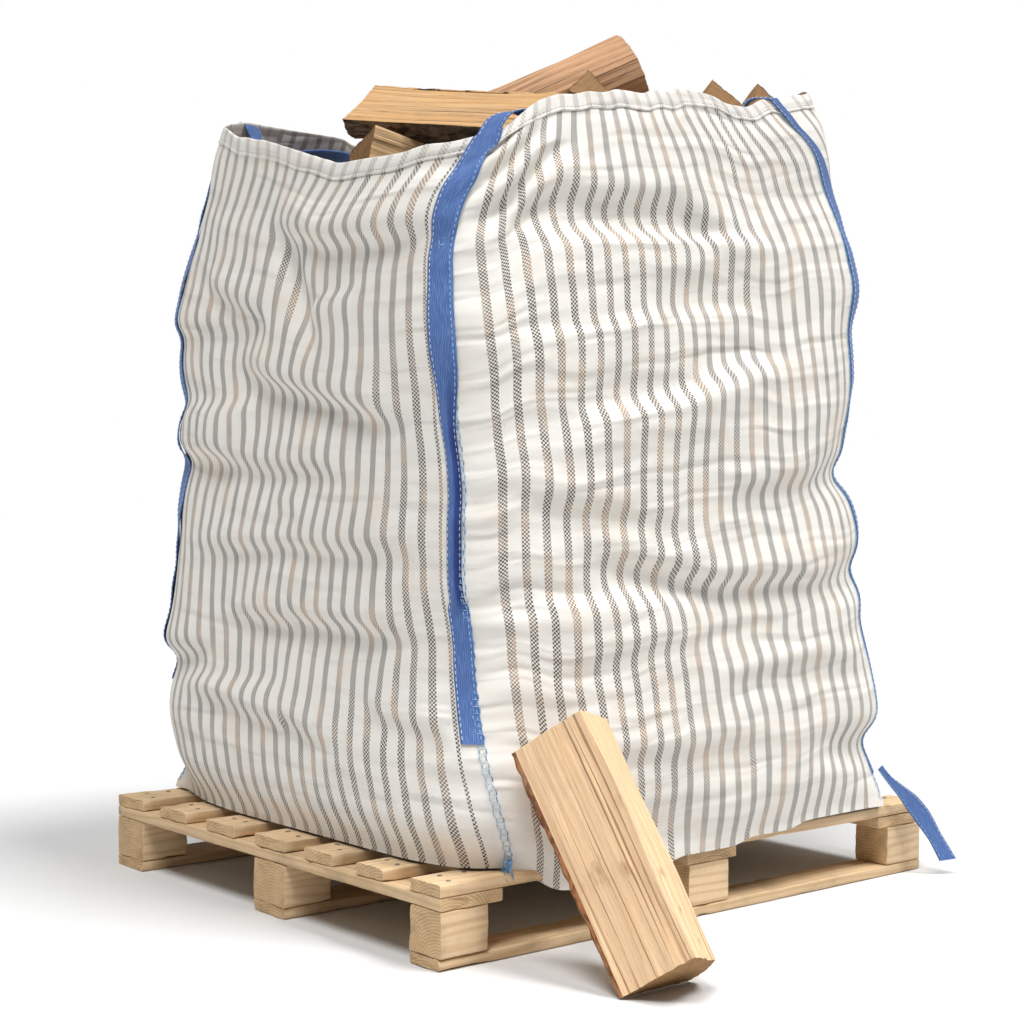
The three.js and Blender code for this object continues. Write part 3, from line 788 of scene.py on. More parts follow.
@dataclass(frozen=True)
class FloorFinish:
    """The pale studio floor."""

    name: str = "studio_floor"

    def build(self) -> bpy.types.Material:
        """Makes the material."""
        m, g, shader = new_material(self.name, 0.9, specular=0.1)
        faint = g.noise(g.node("TexCoord").outputs["Object"], 1.5, 2.0)
        g.feed(shader.inputs["Base Color"],
               g.mix(g.span(faint, 0.3, 0.7), (0.71, 0.71, 0.71, 1), (0.73, 0.73, 0.73, 1)))
        return m


# ---------------------------------------------------------------- the bag


@dataclass(frozen=True)
class Fold:
    """One fold of the cloth, along a line of (angle round the bag in degrees, height in mm) points."""

    kind: FoldKind
    depth: float
    reach: float
    line: tuple[tuple[float, float], ...]


OVER, LEDGE, VALLEY = FoldKind.OVERHANG, FoldKind.LEDGE, FoldKind.VALLEY
FOLDS = (
    Fold(OVER, 15, 62, ((164, 945), (177, 920), (190, 895), (209, 858))),
    Fold(OVER, 9, 60, ((150, 620), (184, 642), (213, 640))),
    Fold(OVER, 11, 60, ((160, 500), (190, 512), (210, 500))),
    Fold(OVER, 13, 60, ((172, 1195), (189, 1160), (202, 1150), (214, 1165))),
    Fold(VALLEY, 12, 34, ((173, 1180), (182, 1040), (186, 990))),
    Fold(LEDGE, 8, 40, ((182, 1040), (189, 1068), (200, 1060))),
    Fold(OVER, 11, 55, ((152, 1105), (162, 1070), (172, 1030))),
    Fold(OVER, 6, 30, ((174, 700), (184, 702))),
    Fold(OVER, 8, 60, ((150, 350), (175, 335), (196, 308))),
    Fold(OVER, 7, 50, ((203, 372), (219, 348))),
    Fold(OVER, 9, 55, ((150, 790), (170, 770), (196, 765))),
    Fold(OVER, 12, 48, ((222, 1212), (235, 1232), (264, 1232), (280, 1205))),
    Fold(LEDGE, 10, 40, ((226, 1160), (242, 1168), (267, 1180), (292, 1190))),
    Fold(LEDGE, 7, 26, ((224, 985), (248, 1030), (266, 1052), (288, 1072))),
    Fold(LEDGE, 12, 45, ((236, 850), (258, 900), (272, 940), (290, 972))),
    Fold(LEDGE, 9, 26, ((222, 540), (236, 545), (246, 568), (266, 562))),
    Fold(OVER, 14, 55, ((240, 636), (255, 608), (267, 590), (285, 578), (304, 582))),
    Fold(OVER, 9, 42, ((272, 748), (286, 750), (305, 775))),
    Fold(OVER, 6, 40, ((232, 450), (262, 492), (294, 512))),
    Fold(OVER, 6, 40, ((226, 745), (246, 700), (262, 690))),
    Fold(OVER, 7, 42, ((270, 400), (290, 432), (308, 420))),
    Fold(VALLEY, 10, 30, ((296, 772), (313, 768), (335, 775))),
    Fold(VALLEY, 12, 34, ((298, 578), (313, 585), (340, 590))),
    Fold(OVER, 6, 50, ((232, 330), (256, 300), (280, 305))),
    Fold(VALLEY, 14, 38, ((296, 268), (313, 262), (338, 268))),
)


@dataclass
class BagSkin:
    """The cloth of the bag as one tube: read off the CAD panels, then slackened and settled as cloth."""

    nodes: dict[str, bpy.types.Object]
    columns: int = 80
    rows: int = 128
    casts: int = 240
    step: float = 0.012
    slack: float = 0.025
    bending: float = 0.75
    hold: float = 0.05
    fold_depth: float = 1.9
    reach_limit: float = 0.030
    seam_hold: float = 0.10
    swell: float = 0.00003
    rounds: int = 230
    seed: int = 7
    tuck: float = 0.034
    ears: tuple[tuple[int, float], ...] = ((1, 0.034), (2, 0.040), (3, 0.062))
    points: np.ndarray = field(init=False)
    normals: np.ndarray = field(init=False)
    smooth: np.ndarray = field(init=False)

    def __post_init__(self) -> None:
        """Reads the shape, folds it and lets it settle."""
        self._read()
        base = self._base()
        self.smooth = self._refined(base)
        goal = self._folded(base)
        self.points = self._eared(self._refined(self._settled(base, goal)))
        self.normals = grid_normals(self.points, closed=True)

    def _read(self) -> None:
        """Measures the CAD panels' outer radius, feet, rims and seams round the bag."""
        points, faces, owner = [], [], []
        for side in Side:
            mesh = self.nodes[f"bag_panel_{side.name.lower()}"].data
            start = len(points)
            points += [v.co.copy() for v in mesh.vertices]
            faces += [[start + i for i in p.vertices] for p in mesh.polygons]
            owner += [side.value] * len(mesh.polygons)
        tree = BVHTree.FromPolygons(points, faces)
        self.heights = np.arange(0.085, 1.56, self.step)
        radius = np.full((self.casts, len(self.heights)), np.nan)
        panel = np.full(radius.shape, -1)
        for i in range(self.casts):
            outward = Vector((math.cos(TURN * i / self.casts), math.sin(TURN * i / self.casts), 0))
            for j, height in enumerate(self.heights):
                hit = tree.ray_cast(outward * 1.5 + Vector((0, 0, height)), -outward, 1.2)
                if hit[0] is not None:
                    radius[i, j], panel[i, j] = hit[0].xy.length, owner[hit[2]]
        found = ~np.isnan(radius)
        first, last = found.argmax(1), len(self.heights) - 1 - found[:, ::-1].argmax(1)
        self.feet, self.rims = self.heights[first] - self.step / 2, self.heights[last] + self.step / 2
        for i in range(self.casts):
            for table in (radius, panel):
                table[i, :first[i]], table[i, last[i] + 1:] = table[i, first[i]], table[i, last[i]]
        self.radius = radius
        self.seams = np.zeros((5, len(self.heights)))
        for j in range(len(self.heights)):
            for k in range(4):
                starts = np.flatnonzero((panel[:, j] == k) & (np.roll(panel[:, j], 1) != k))
                self.seams[k, j] = (starts[0]
                                    - 0.5) * TURN / self.casts if len(starts) else self.seams[k, j - 1]
        for k in range(4):
            self.seams[k] = np.unwrap(self.seams[k])
            while k and self.seams[k].mean() < self.seams[k - 1].mean():
                self.seams[k] += TURN
        kernel = np.ones(9) / 9
        for k in range(4):
            self.seams[k] = np.convolve(np.pad(self.seams[k], 4, mode="edge"), kernel, "valid")
        self.seams[4] = self.seams[0] + TURN

    def _round(self, table: np.ndarray, angle: np.ndarray) -> np.ndarray:
        """A measure that closes round the bag, at these angles."""
        at = (angle / TURN * self.casts) % self.casts
        i = np.floor(at).astype(int)
        share = (at - i).reshape((-1,) + (1,) * (table.ndim - 1))
        return table[i % self.casts] * (1 - share) + table[(i + 1) % self.casts] * share

    def _radius_at(self, angle: np.ndarray, height: np.ndarray) -> np.ndarray:
        """The CAD bag's outer radius."""
        at = np.clip((height - self.heights[0]) / self.step, 0, len(self.heights) - 1.001)
        j = at.astype(int)
        count, table = np.arange(len(at)), self._round(self.radius, angle)
        low, high = table[count, j], table[count, j + 1]
        return low * (1 - at + j) + high * (at - j)

    def _base(self) -> np.ndarray:
        """The tube of cloth on the CAD shape, its columns following the seams."""
        count = 4 * self.columns
        panel, share = np.arange(count) // self.columns, (np.arange(count) % self.columns) / self.columns
        grid = np.zeros((self.rows, count, 3))
        for row, t in enumerate(np.linspace(0, 1, self.rows)):
            height = np.full(count, 0.1 + 1.3 * t)
            for _ in range(4):
                j = np.clip(((height - self.heights[0]) / self.step).astype(int), 0, len(self.heights) - 1)
                start, end = self.seams[panel, j], self.seams[panel + 1, j]
                angle = start + (end - start) * share
                feet, rims = self._round(self.feet, angle), self._round(self.rims, angle)
                height = feet + t * (rims - feet)
            radius = self._radius_at(angle, height)
            grid[row] = np.stack([radius * np.cos(angle), radius * np.sin(angle), height], 1)
        for _ in range(6):
            inner = 0.5 * grid[1:-1] + 0.125 * (grid[2:] + grid[:-2])
            grid[1:-1] = inner + 0.125 * (np.roll(grid, 1, 1) + np.roll(grid, -1, 1))[1:-1]
        edge = grid[[0, -1]]
        for _ in range(4):
            edge = 0.5 * edge + 0.25 * (np.roll(edge, 1, 1) + np.roll(edge, -1, 1))
        grid[[0, -1]] = edge
        return grid

    def _folded(self, base: np.ndarray) -> np.ndarray:
        """The base with its folds pressed in: those that show, and seeded ones on the far sides."""
        random = np.random.default_rng(self.seed)
        folds = list(FOLDS)
        for _ in range(34):
            start, height = random.uniform(318, 508), random.uniform(220, 1230)
            long, tilt = random.uniform(14, 40), random.uniform(-35, 45)
            line = tuple((start + long * t, height + tilt * t + random.uniform(-9, 9)) for t in (0, 0.5, 1))
            folds.append(Fold(OVER if random.random() < 0.65 else LEDGE, random.uniform(6, 13),
                              random.uniform(32, 62), line))
        angle = np.degrees(np.arctan2(base[..., 1], base[..., 0]))
        girth = np.radians(np.hypot(base[..., 0], base[..., 1])) / MM
        height, push = base[..., 2] / MM, np.zeros(base.shape[:2])
        for number, fold in enumerate(folds):
            line = np.array(fold.line)
            middle = line[:, 0].mean()
            x = ((angle - middle + 180) % 360 - 180)
            along = np.clip((x - (line[0, 0] - middle)) / (line[-1, 0] - line[0, 0]), -0.6, 1.6)
            if fold.kind is VALLEY and np.ptp(line[:, 1]) > 80:
                share = np.clip((line[0, 1] - height) / np.ptp(line[:, 1]), -0.5, 1.5)
                off = (x - np.interp(height, line[::-1, 1], line[::-1, 0] - middle)) * girth
                window = smooth_step((share + 0.2) / 0.35) * smooth_step((1.2 - share) / 0.35)
            else:
                off = height - np.interp(x, line[:, 0] - middle, line[:, 1])
                off = off + 7 * lattice_noise(angle / 9, height * 0 + number, 31)
                window = smooth_step((along + 0.12) / 0.34) * smooth_step((1.12 - along) / 0.34)
            near = np.exp(-np.abs(off) / fold.reach)
            if fold.kind is VALLEY:
                shape = -np.exp(-((off / fold.reach) ** 2))
            elif fold.kind is OVER:
                shape = np.tanh(off / 9) * near
            else:
                shape = -np.tanh(off / 8) * near
            push += self.fold_depth * fold.depth * shape * window
        t = np.linspace(0, 1, self.rows)[:, None]
        calm = smooth_step(t / 0.06) * smooth_step((1 - t) / 0.05)
        soft = 6.0 * ring_noise(self.rows, base.shape[1], (7, 13),
                                13) + 1.6 * ring_noise(self.rows, base.shape[1], (16, 17), 11)
        soft = soft + 0.9 * ring_noise(self.rows, base.shape[1], (30, 24), 12)
        return base + grid_normals(base, True) * ((push + soft) * calm * MM)[..., None]

    def _settled(self, base: np.ndarray, goal: np.ndarray) -> np.ndarray:
        """The goal let go as slack cloth: stretch, shear and bending are worked out round after round.

        Args:
            base: The tube before its folds, which gives the cloth's cut lengths.
            goal: Where the load inside holds the cloth, softly.

        Returns:
            The settled points.
        """
        shape = base.shape[:2]
        slack = 1 + self.slack * np.clip(1 + 0.7 * ring_noise(*shape, (6, 9), 3), 0.1, 2.0)
        wide = np.linalg.norm(np.roll(base, -1, 1) - base, axis=-1) * 1.004
        tall = np.linalg.norm(base[1:] - base[:-1], axis=-1) * slack[1:]
        cross = np.sqrt(((wide[:-1] + wide[1:]) / 2) ** 2 + tall ** 2)
        free = np.ones(shape)
        free[:2] = free[-2:] = 0
        hold = np.full(shape, self.hold)
        for k in range(4):
            for d in (-1, 0, 1):
                hold[:, (k * self.columns + d) % shape[1]] += self.seam_hold
        curve = 0.5 * (np.roll(goal, 1, 1) + np.roll(goal, -1, 1)) - goal
        points, speed = goal.copy(), np.zeros_like(goal)
        for _ in range(self.rounds):
            before = points
            points = points + 0.92 * speed + grid_normals(points, True) * (self.swell * free[..., None])
            for _ in range(2):
                move, weight = np.zeros_like(points), np.zeros(shape)
                gap = points[1:] - points[:-1]
                length = np.linalg.norm(gap, axis=-1)
                pull = (0.5 * (length - tall) / length)[..., None] * gap
                move[:-1] += pull
                move[1:] -= pull
                gap = np.roll(points, -1, 1) - points
                length = np.linalg.norm(gap, axis=-1)
                pull = (0.5 * (length - wide) / length)[..., None] * gap
                move += pull - np.roll(pull, 1, 1)
                weight[:-1] += 1
                weight[1:] += 1
                weight += 2
                for turn in (1, -1):
                    gap = np.roll(points[1:], -turn, 1) - points[:-1]
                    length = np.linalg.norm(gap, axis=-1)
                    pull = (0.25 * (length - cross) / length)[..., None] * gap
                    move[:-1] += pull
                    move[1:] -= np.roll(pull, turn, 1)
                    weight[:-1] += 0.5
                    weight[1:] += 0.5
                bend = self.bending * (0.5 * (points[2:] + points[:-2]) - points[1:-1])
                move[1:-1] += bend
                move[:-2] -= 0.5 * bend
                move[2:] -= 0.5 * bend
                bend = self.bending * (0.5 * (np.roll(points, 1, 1) + np.roll(points, -1, 1)) - points
                                       - curve)
                move += bend - 0.5 * (np.roll(bend, 1, 1) + np.roll(bend, -1, 1))
                points = points + 1.1 * (move / weight[..., None]) * free[..., None]
            points = points + (goal - points) * (hold * free)[..., None]
            speed = (points - before) * free[..., None]
            fast = np.linalg.norm(speed, axis=-1, keepdims=True)
            speed *= np.minimum(1, 0.004 / np.maximum(fast, 1e-9))
        away = points - base
        far = np.linalg.norm(away, axis=-1, keepdims=True)
        return base + away * np.minimum(1, self.reach_limit / np.maximum(far, 1e-9))

    @staticmethod
    def _refined(grid: np.ndarray) -> np.ndarray:
        """The grid with a point added between each two, on smooth curves."""
        rows, columns = grid.shape[:2]
        wide = np.empty((rows, 2 * columns, 3))
        wide[:, ::2] = grid
        wide[:, 1::2] = (9 * (grid + np.roll(grid, -1, 1)) - np.roll(grid, 1, 1) - np.roll(grid, -2, 1)) / 16
        padded = np.concatenate([2 * wide[:1] - wide[1:2], wide, 2 * wide[-1:] - wide[-2:-1]])
        tall = np.empty((2 * rows - 1, 2 * columns, 3))
        tall[::2] = wide
        tall[1::2] = (9 * (padded[1:-2] + padded[2:-1]) - padded[:-3] - padded[3:]) / 16
        return tall

    def _eared(self, grid: np.ndarray) -> np.ndarray:
        """The grid with its foot tucked under, and the sewn tips of its lower corners drawn out as ears."""
        rows, columns = grid.shape[:2]
        up, around = np.arange(rows)[:, None] / rows, np.arange(columns)[None] / columns * 4
        drooping = smooth_step(1.5 - 2.2 * np.abs(around - 0.5))
        outward = unit(grid * np.array([1, 1, 0]))
        grid = grid - (self.tuck * (1 - 0.7 * drooping)
                       * smooth_step(1 - up / 0.085) ** 1.5)[..., None] * outward
        for seam, ear in self.ears:
            away = (around - seam + 2) % 4 - 2
            share = np.exp(-np.abs(away) / 0.035) * smooth_step(1 - up / 0.055)
            outward = unit(grid[:1, int(seam * columns / 4)] * np.array([1, 1, 0]))
            grid = grid + (share * ear)[..., None] * outward
        return grid

    def at(self, around: np.ndarray, up: np.ndarray, lift: np.ndarray | float = 0.0) -> np.ndarray:
        """Points on or off the cloth.

        Args:
            around: Place round the bag in panels, 0 at the front left seam.
            up: Place up the cloth, 0 at the foot and 1 at the rim.
            lift: How far outside the cloth, in metres.

        Returns:
            The points.
        """
        around, up, lift = np.broadcast_arrays(np.asarray(around, float), np.asarray(up, float),
                                               np.asarray(lift, float))
        rows, columns = self.points.shape[:2]
        x, y = (around % 4) / 4 * columns, np.clip(up, 0, 1) * (rows - 1.0001)
        i, j = np.floor(x).astype(int), np.floor(y).astype(int)
        fx, fy = (x - i)[..., None], (y - j)[..., None]
        result = []
        for table in (self.points, self.normals):
            low = table[j, i % columns] * (1 - fx) + table[j, (i + 1) % columns] * fx
            high = table[j + 1, i % columns] * (1 - fx) + table[j + 1, (i + 1) % columns] * fx
            result.append(low * (1 - fy) + high * fy)
        return result[0] + unit(result[1]) * lift[..., None]

    def up_at(self, around: float, height: float) -> float:
        """How far up the cloth a height is, at a place round the bag."""
        ups = np.linspace(0, 1, 200)
        return float(np.interp(height, np.maximum.accumulate(self.at(np.full(200, around), ups)[:, 2]), ups))


@dataclass
class BagPanels:
    """The four cloth panels, the base panel and the hem sewn round the rim."""

    skin: BagSkin
    cloth: bpy.types.Material
    hem_cloth: bpy.types.Material
    hem_thread: bpy.types.Material
    cut_width: float = 0.95
    hem_depth: float = 0.030
    hem_lift: float = 0.0010
    margin: float = 0.060
    uv_stride: float = 2.0
    cut_heights: tuple[float, ...] = (1.35, 1.35, 1.30, 1.25)

    def build(self) -> None:
        """Makes every cloth piece."""
        for side in Side:
            hem = self._hem(side)
            panel = self._panel(side)
        self._base_panel()

    def _panel(self, side: Side) -> bpy.types.Object:
        """One side panel."""
        skin, k = self.skin, side.value
        wide = skin.points.shape[1] // 4
        columns = (np.arange(wide + 1) + k * wide) % skin.points.shape[1]
        grid = skin.points[:, columns]
        run = np.concatenate([[0], np.cumsum(np.linalg.norm(np.diff(grid.mean(1), axis=0), axis=1))])
        across = self._across(columns)
        uv = np.stack(np.broadcast_arrays(across + k * self.uv_stride, run[:, None]), -1)
        draft = MeshDraft()
        draft.add_grid(grid, uv)
        node = f"bag_panel_{side.name.lower()}"
        return settle(draft.build(f"cloth_panel_{side.name.lower()}", [self.cloth]), Slot.WOVEN_CLOTH, node)

    def _across(self, columns: np.ndarray) -> np.ndarray:
        """How far across the cut cloth each column lies, row by row."""
        steps = np.linalg.norm(np.diff(self.skin.smooth[:, columns], axis=1), axis=-1)
        far = np.concatenate([np.zeros((len(steps), 1)), np.cumsum(steps, 1)], 1)
        return far / far[:, -1:] * self.cut_width

    def _hem(self, side: Side) -> bpy.types.Object:
        """The doubled hem along a panel's rim, with its line of stitches."""
        k, count = side.value, 170
        around = k + np.linspace(0.0, 1.0, count)
        top = self.skin.at(around, 1.0)
        normal = unit(self.skin.at(around, 1.0, 0.01) - top)
        down = unit(self.skin.at(around, 0.97) - top)
        fray = 1 + 0.10 * lattice_noise(around * 14, around * 0, 5)
        waver = 0.0008 * lattice_noise(around * 30, around * 0 + 3, 6)
        section = ((-1.0, 1.00), (-1.1, 0.6), (-1.1, 0.1), (-0.7, -0.045), (0.0, -0.07), (0.9, -0.04),
                   (1.3, 0.08),
                   (1.7, 0.35), (1.3, 0.68), (0.55, 0.76), (1.3, 0.84), (1.7, 0.97), (0.4, 1.01))
        grid = np.stack([top + normal * (self.hem_lift * out * 1.3 + waver)[:, None]
                         + down * (self.hem_depth * low * fray)[:, None] for out, low in section])
        drop = np.array([low for _, low in section]) * self.hem_depth
        wide = self.skin.points.shape[1] // 4
        rim_run = self._across((np.arange(wide + 1) + k * wide) % (4 * wide))[-1]
        across = np.interp(np.linspace(0, 1, count), np.linspace(0, 1, wide + 1), rim_run)
        uv = np.stack(np.broadcast_arrays(across[None] + k * self.uv_stride, drop[:, None]), -1)
        draft = MeshDraft()
        draft.add_grid(grid, uv, flip=True)
        stitch, gap = 0.0056, 0.0086
        line = top + normal * (self.hem_lift * 1.15) + down * (self.hem_depth * 0.76 * fray)[:, None]
        run = np.concatenate([[0], np.cumsum(np.linalg.norm(np.diff(line, axis=0), axis=1))])
        for start in np.arange(0.004, run[-1] - gap, gap):
            ends = np.linspace(start, start + stitch, 4)
            path = np.stack([np.interp(ends, run, line[:, axis]) for axis in range(3)], 1)
            draft.add_tube(path, 0.00045, 4, 1)
        return settle(draft.build(f"rim_hem_{side.name.lower()}", [self.hem_cloth, self.hem_thread]),
                      Slot.WOVEN_CLOTH)

    def _base_panel(self) -> None:
        """The base panel, lying flat over the deck with a faint ripple."""
        low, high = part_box("bag_base_panel")
        x, y = np.meshgrid(np.linspace(low.x + self.margin, high.x - self.margin, 90),
                           np.linspace(low.y + self.margin, high.y - self.margin, 90))
        z = low.z + 0.0015 + 0.0012 * lattice_noise(x * 14, y * 14, 9)
        draft = MeshDraft()
        draft.add_grid(np.stack([x, y, z], -1), np.stack([x, y], -1))
        base = settle(draft.build("cloth_base", [self.cloth]), Slot.WOVEN_CLOTH, "bag_base_panel")


@dataclass(frozen=True)
class StrapRun:
    """How one lifting strap lies: its route beside the seam, and its loop beyond the rim.

    The route gives (height, middle to the right of the seam), and the loop gives (along the rim, up, inward),
    all in metres. A loop that lies inside follows the rim and hangs below it.
    """

    seam: int
    corner: str
    route: tuple[tuple[float, float], ...]
    loop: tuple[tuple[float, float, float], ...]
    turned: float = 0.0
    lift: float = 0.0034
    # How dark the loop's underside is painted: painted shade, carried by the mark attribute.
    under: float = 0.0
    folded: tuple[float, float] | None = None
    slim_low: float = 0.0
    slim_top: float = 0.0
    inside: bool = False


@dataclass
class LiftingStraps:
    """Four webbing straps sewn along the corner seams, looped in over the rim, and one loose tail."""

    skin: BagSkin
    webbing: bpy.types.Material
    white: bpy.types.Material
    pale_blue: bpy.types.Material
    width: float = 0.043
    thick: float = 0.0016
    over_hem: float = 0.0036
    panel_width: float = 0.92
    lanes: int = 11
    tail: tuple[tuple[float, float, float], ...] = (
        (0.468, -0.500, 0.212), (0.486, -0.507, 0.188), (0.510, -0.515, 0.167), (0.540, -0.521, 0.140),
        (0.566, -0.526, 0.113), (0.586, -0.542, 0.072), (0.601, -0.562, 0.028))
    tail_widths: tuple[float, ...] = (0.012, 0.014, 0.022, 0.034, 0.036, 0.028, 0.032)
    runs: tuple[StrapRun, ...] = (
        StrapRun(0, "front_left",
                 ((0.34, -0.010), (0.55, -0.009), (0.90, -0.008), (1.08, -0.002), (1.30, 0.0)),
                 ((0.020, 0.027, 0.004), (0.058, 0.027, 0.018), (0.084, 0.010, 0.030), (0.094, -0.02, 0.036),
                  (0.096, -0.05, 0.038)),
                 turned=70, under=0.8, folded=(0.535, 0.98), slim_low=0.62),
        StrapRun(1, "front_right", ((0.20, 0.022), (1.30, 0.022), (1.44, 0.0)),
                 ((-0.012, 0.006, 0.008), (-0.040, 0.010, 0.014), (-0.064, 0.004, 0.018),
                  (-0.074, -0.02, 0.022), (-0.076, -0.05, 0.024)),
                 turned=72, slim_top=1.28),
        StrapRun(2, "back_right", ((0.36, 0.005), (1.40, 0.0)),
                 ((0.0, 0.010, 0.004), (0.0, 0.008, 0.010), (0.0, -0.04, 0.014))),
        StrapRun(3, "back_left",
                 ((0.36, 0.03), (0.58, 0.055), (0.68, 0.088), (1.10, 0.098), (1.24, 0.118), (1.32, 0.07),
                  (1.40, 0.0)),
                 ((-0.004, 0.000, 0.006), (-0.016, -0.035, 0.013), (-0.07, -0.060, 0.018),
                  (-0.13, -0.050, 0.020),
                  (-0.19, -0.045, 0.020), (-0.25, -0.045, 0.020), (-0.29, -0.05, 0.022)),
                 lift=0.0036, inside=True),
    )

    def build(self) -> None:
        """Makes each strap with its stitch lines."""
        for run in self.runs:
            draft = MeshDraft()
            self._along_seam(draft, run)
            if run.corner == "front_right":
                self._loose_tail(draft)
            settle(draft.build(f"webbing_strap_{run.corner}", [self.webbing, self.white, self.pale_blue]),
                   Slot.WEBBING, f"lifting_strap_{run.corner}")

    def _along_seam(self, draft: MeshDraft, run: StrapRun) -> None:
        """A strap from its low end up to the rim, and over it in a loop."""
        low = self.skin.up_at(run.seam, run.route[0][0])
        count, across = 260, np.linspace(-0.5, 0.5, self.lanes)
        up = np.linspace(low, 1.0, count)
        seam = np.full(count, float(run.seam))
        height = self.skin.at(seam, up)[:, 2]
        narrow = np.zeros(count)
        if run.folded:
            narrow = smooth_step((height - run.folded[0]) / 0.035) * smooth_step((run.folded[1]
                                                                                  - height) / 0.17)
        slim = narrow
        if run.slim_top:
            slim = slim + 0.9 * smooth_step((height - run.slim_top) / 0.12)
        if run.slim_low:
            slim = np.maximum(slim, 0.52 * smooth_step((run.slim_low - height) / 0.05))
        width = self.width * (1 - 0.50 * slim)
        wander = 0.003 * lattice_noise(height * 5, height * 0 + run.seam, 21) * (1 - 0.6 * narrow)
        middle = np.interp(height, *np.array(run.route).T)
        middle = np.convolve(np.pad(middle, 10, mode="edge"), np.ones(21) / 21, "valid") + wander
        ripple = 0.0022 * lattice_noise(height * 22, height * 0 + run.seam, 23)
        proud = run.lift + self.over_hem * smooth_step((up - 0.955) / 0.02)
        rows = []
        for s in across:
            fold = narrow * 0.007 * math.exp(-((s + 0.1) / 0.22) ** 2) * bool(run.folded)
            rows.append(self.skin.at(seam + (middle + s * width) / self.panel_width, up,
                                     proud + fold + ripple * (1 + s)))
        face = np.stack(rows, 1)
        shade = np.zeros(face.shape[:2])
        # Painted shade: the far half of the folded stretch is darkened through the mark attribute.
        if run.folded:
            shade = narrow[:, None] * smooth_step((across[None] + 0.08) / 0.2) * 0.95
        loop = self._loop(face[-1], run, width[-1])
        face = np.concatenate([face, loop])
        # Painted shade on the loop's underside, as strong as run.under.
        under = np.concatenate([shade, np.full(loop.shape[:2], run.under)])
        shade = np.concatenate([shade, np.zeros(loop.shape[:2])])
        normal = grid_normals(face, False)
        if (normal[count // 2, 5] * self.skin.normals[128, (run.seam * 160) % 640]).sum() < 0:
            normal = -normal
        self._band(draft, face, normal, shade, under)
        self._stitches(draft, face, normal)

    def _loop(self, rim: np.ndarray, run: StrapRun, width: float) -> np.ndarray:
        """The stretch beyond the rim: it arches along the rim and hangs down inside."""
        middle = rim.mean(0)
        ahead, outward = (unit(self.skin.at(*place) - self.skin.at(float(run.seam), 1.0))
                          for place in ((run.seam + 0.02, 1.0), (float(run.seam), 1.0, 0.01)))
        knots = np.array([(0.0, 0.0, 0.0), *run.loop])
        share = np.linspace(0, len(knots) - 1, 12 * (len(knots) - 1) + 1)
        places = np.stack([np.interp(share, np.arange(len(knots)), knots[:, k]) for k in range(3)], 1)
        path = middle + places[:, :1] * ahead + places[:, 1:2] * np.array([0, 0, 1]) - places[:, 2:] * outward
        if run.inside:
            proud = (float((middle - self.skin.at(float(run.seam), 1.0)) @ outward)
                     * (1 - smooth_step(share / 3)))
            path = self.skin.at(run.seam + places[:, 0] / self.panel_width, 1.0, proud - places[:, 2])
            path[:, 2] += places[:, 1]
        for _ in range(24):
            path[1:-1] = 0.5 * path[1:-1] + 0.25 * (path[2:] + path[:-2])
        tangent = unit(np.gradient(path, axis=0))
        tangent[0] = (0, 0, 1)
        level = unit(np.cross(tangent, outward))
        turn = np.radians(run.turned) * smooth_step(share / share[-1] / 0.4)[:, None]
        sideways = unit(np.cos(turn) * level - np.sin(turn) * outward)
        blend = smooth_step(share / 8)[:, None]
        sideways = unit(sideways * blend + unit(rim[-1] - rim[0]) * (1 - blend))
        across = np.linspace(-0.5, 0.5, self.lanes)
        return (path[:, None] + across[None, :, None] * sideways[:, None] * width)[1:]

    def _band(self, draft: MeshDraft, face: np.ndarray, normal: np.ndarray, shade: np.ndarray,
              under: np.ndarray) -> None:
        """A closed band of webbing over a grid of points, with the painted shade of its two faces."""
        back = face[:, ::-1] - normal[:, ::-1] * self.thick
        ring = np.concatenate([face, back], 1)
        run = np.concatenate([[0], np.cumsum(np.linalg.norm(np.diff(face[:, 5], axis=0), axis=1))])
        wide = np.concatenate([np.linspace(0, 0.047, face.shape[1]),
                               np.linspace(0.049, 0.096, face.shape[1]), [0.098]])
        uv = np.stack(np.broadcast_arrays(wide[None], run[:, None]), -1)
        draft.add_grid(ring, uv, 0, closed=True, mark=np.concatenate([shade, under[:, ::-1]], 1))
        for row in (0, -1):
            cap = np.stack([face[row], face[row] - normal[row] * self.thick])
            draft.add_grid(cap, np.zeros((2, face.shape[1], 2)), flip=row == -1)

    def _stitches(self, draft: MeshDraft, face: np.ndarray, normal: np.ndarray) -> None:
        """Running stitches near both edges."""
        for column, finish in ((1, 1), (9, 2)):
            line = face[:, column] + normal[:, column] * 0.0006
            length = np.concatenate([[0], np.cumsum(np.linalg.norm(np.diff(line, axis=0), axis=1))])
            for start in np.arange(0.006, length[-1] - 0.012, 0.0105):
                ends = np.linspace(start, start + 0.0068, 4)
                path = np.stack([np.interp(ends, length, line[:, axis]) for axis in range(3)], 1)
                draft.add_tube(path, 0.0008, 4, finish)

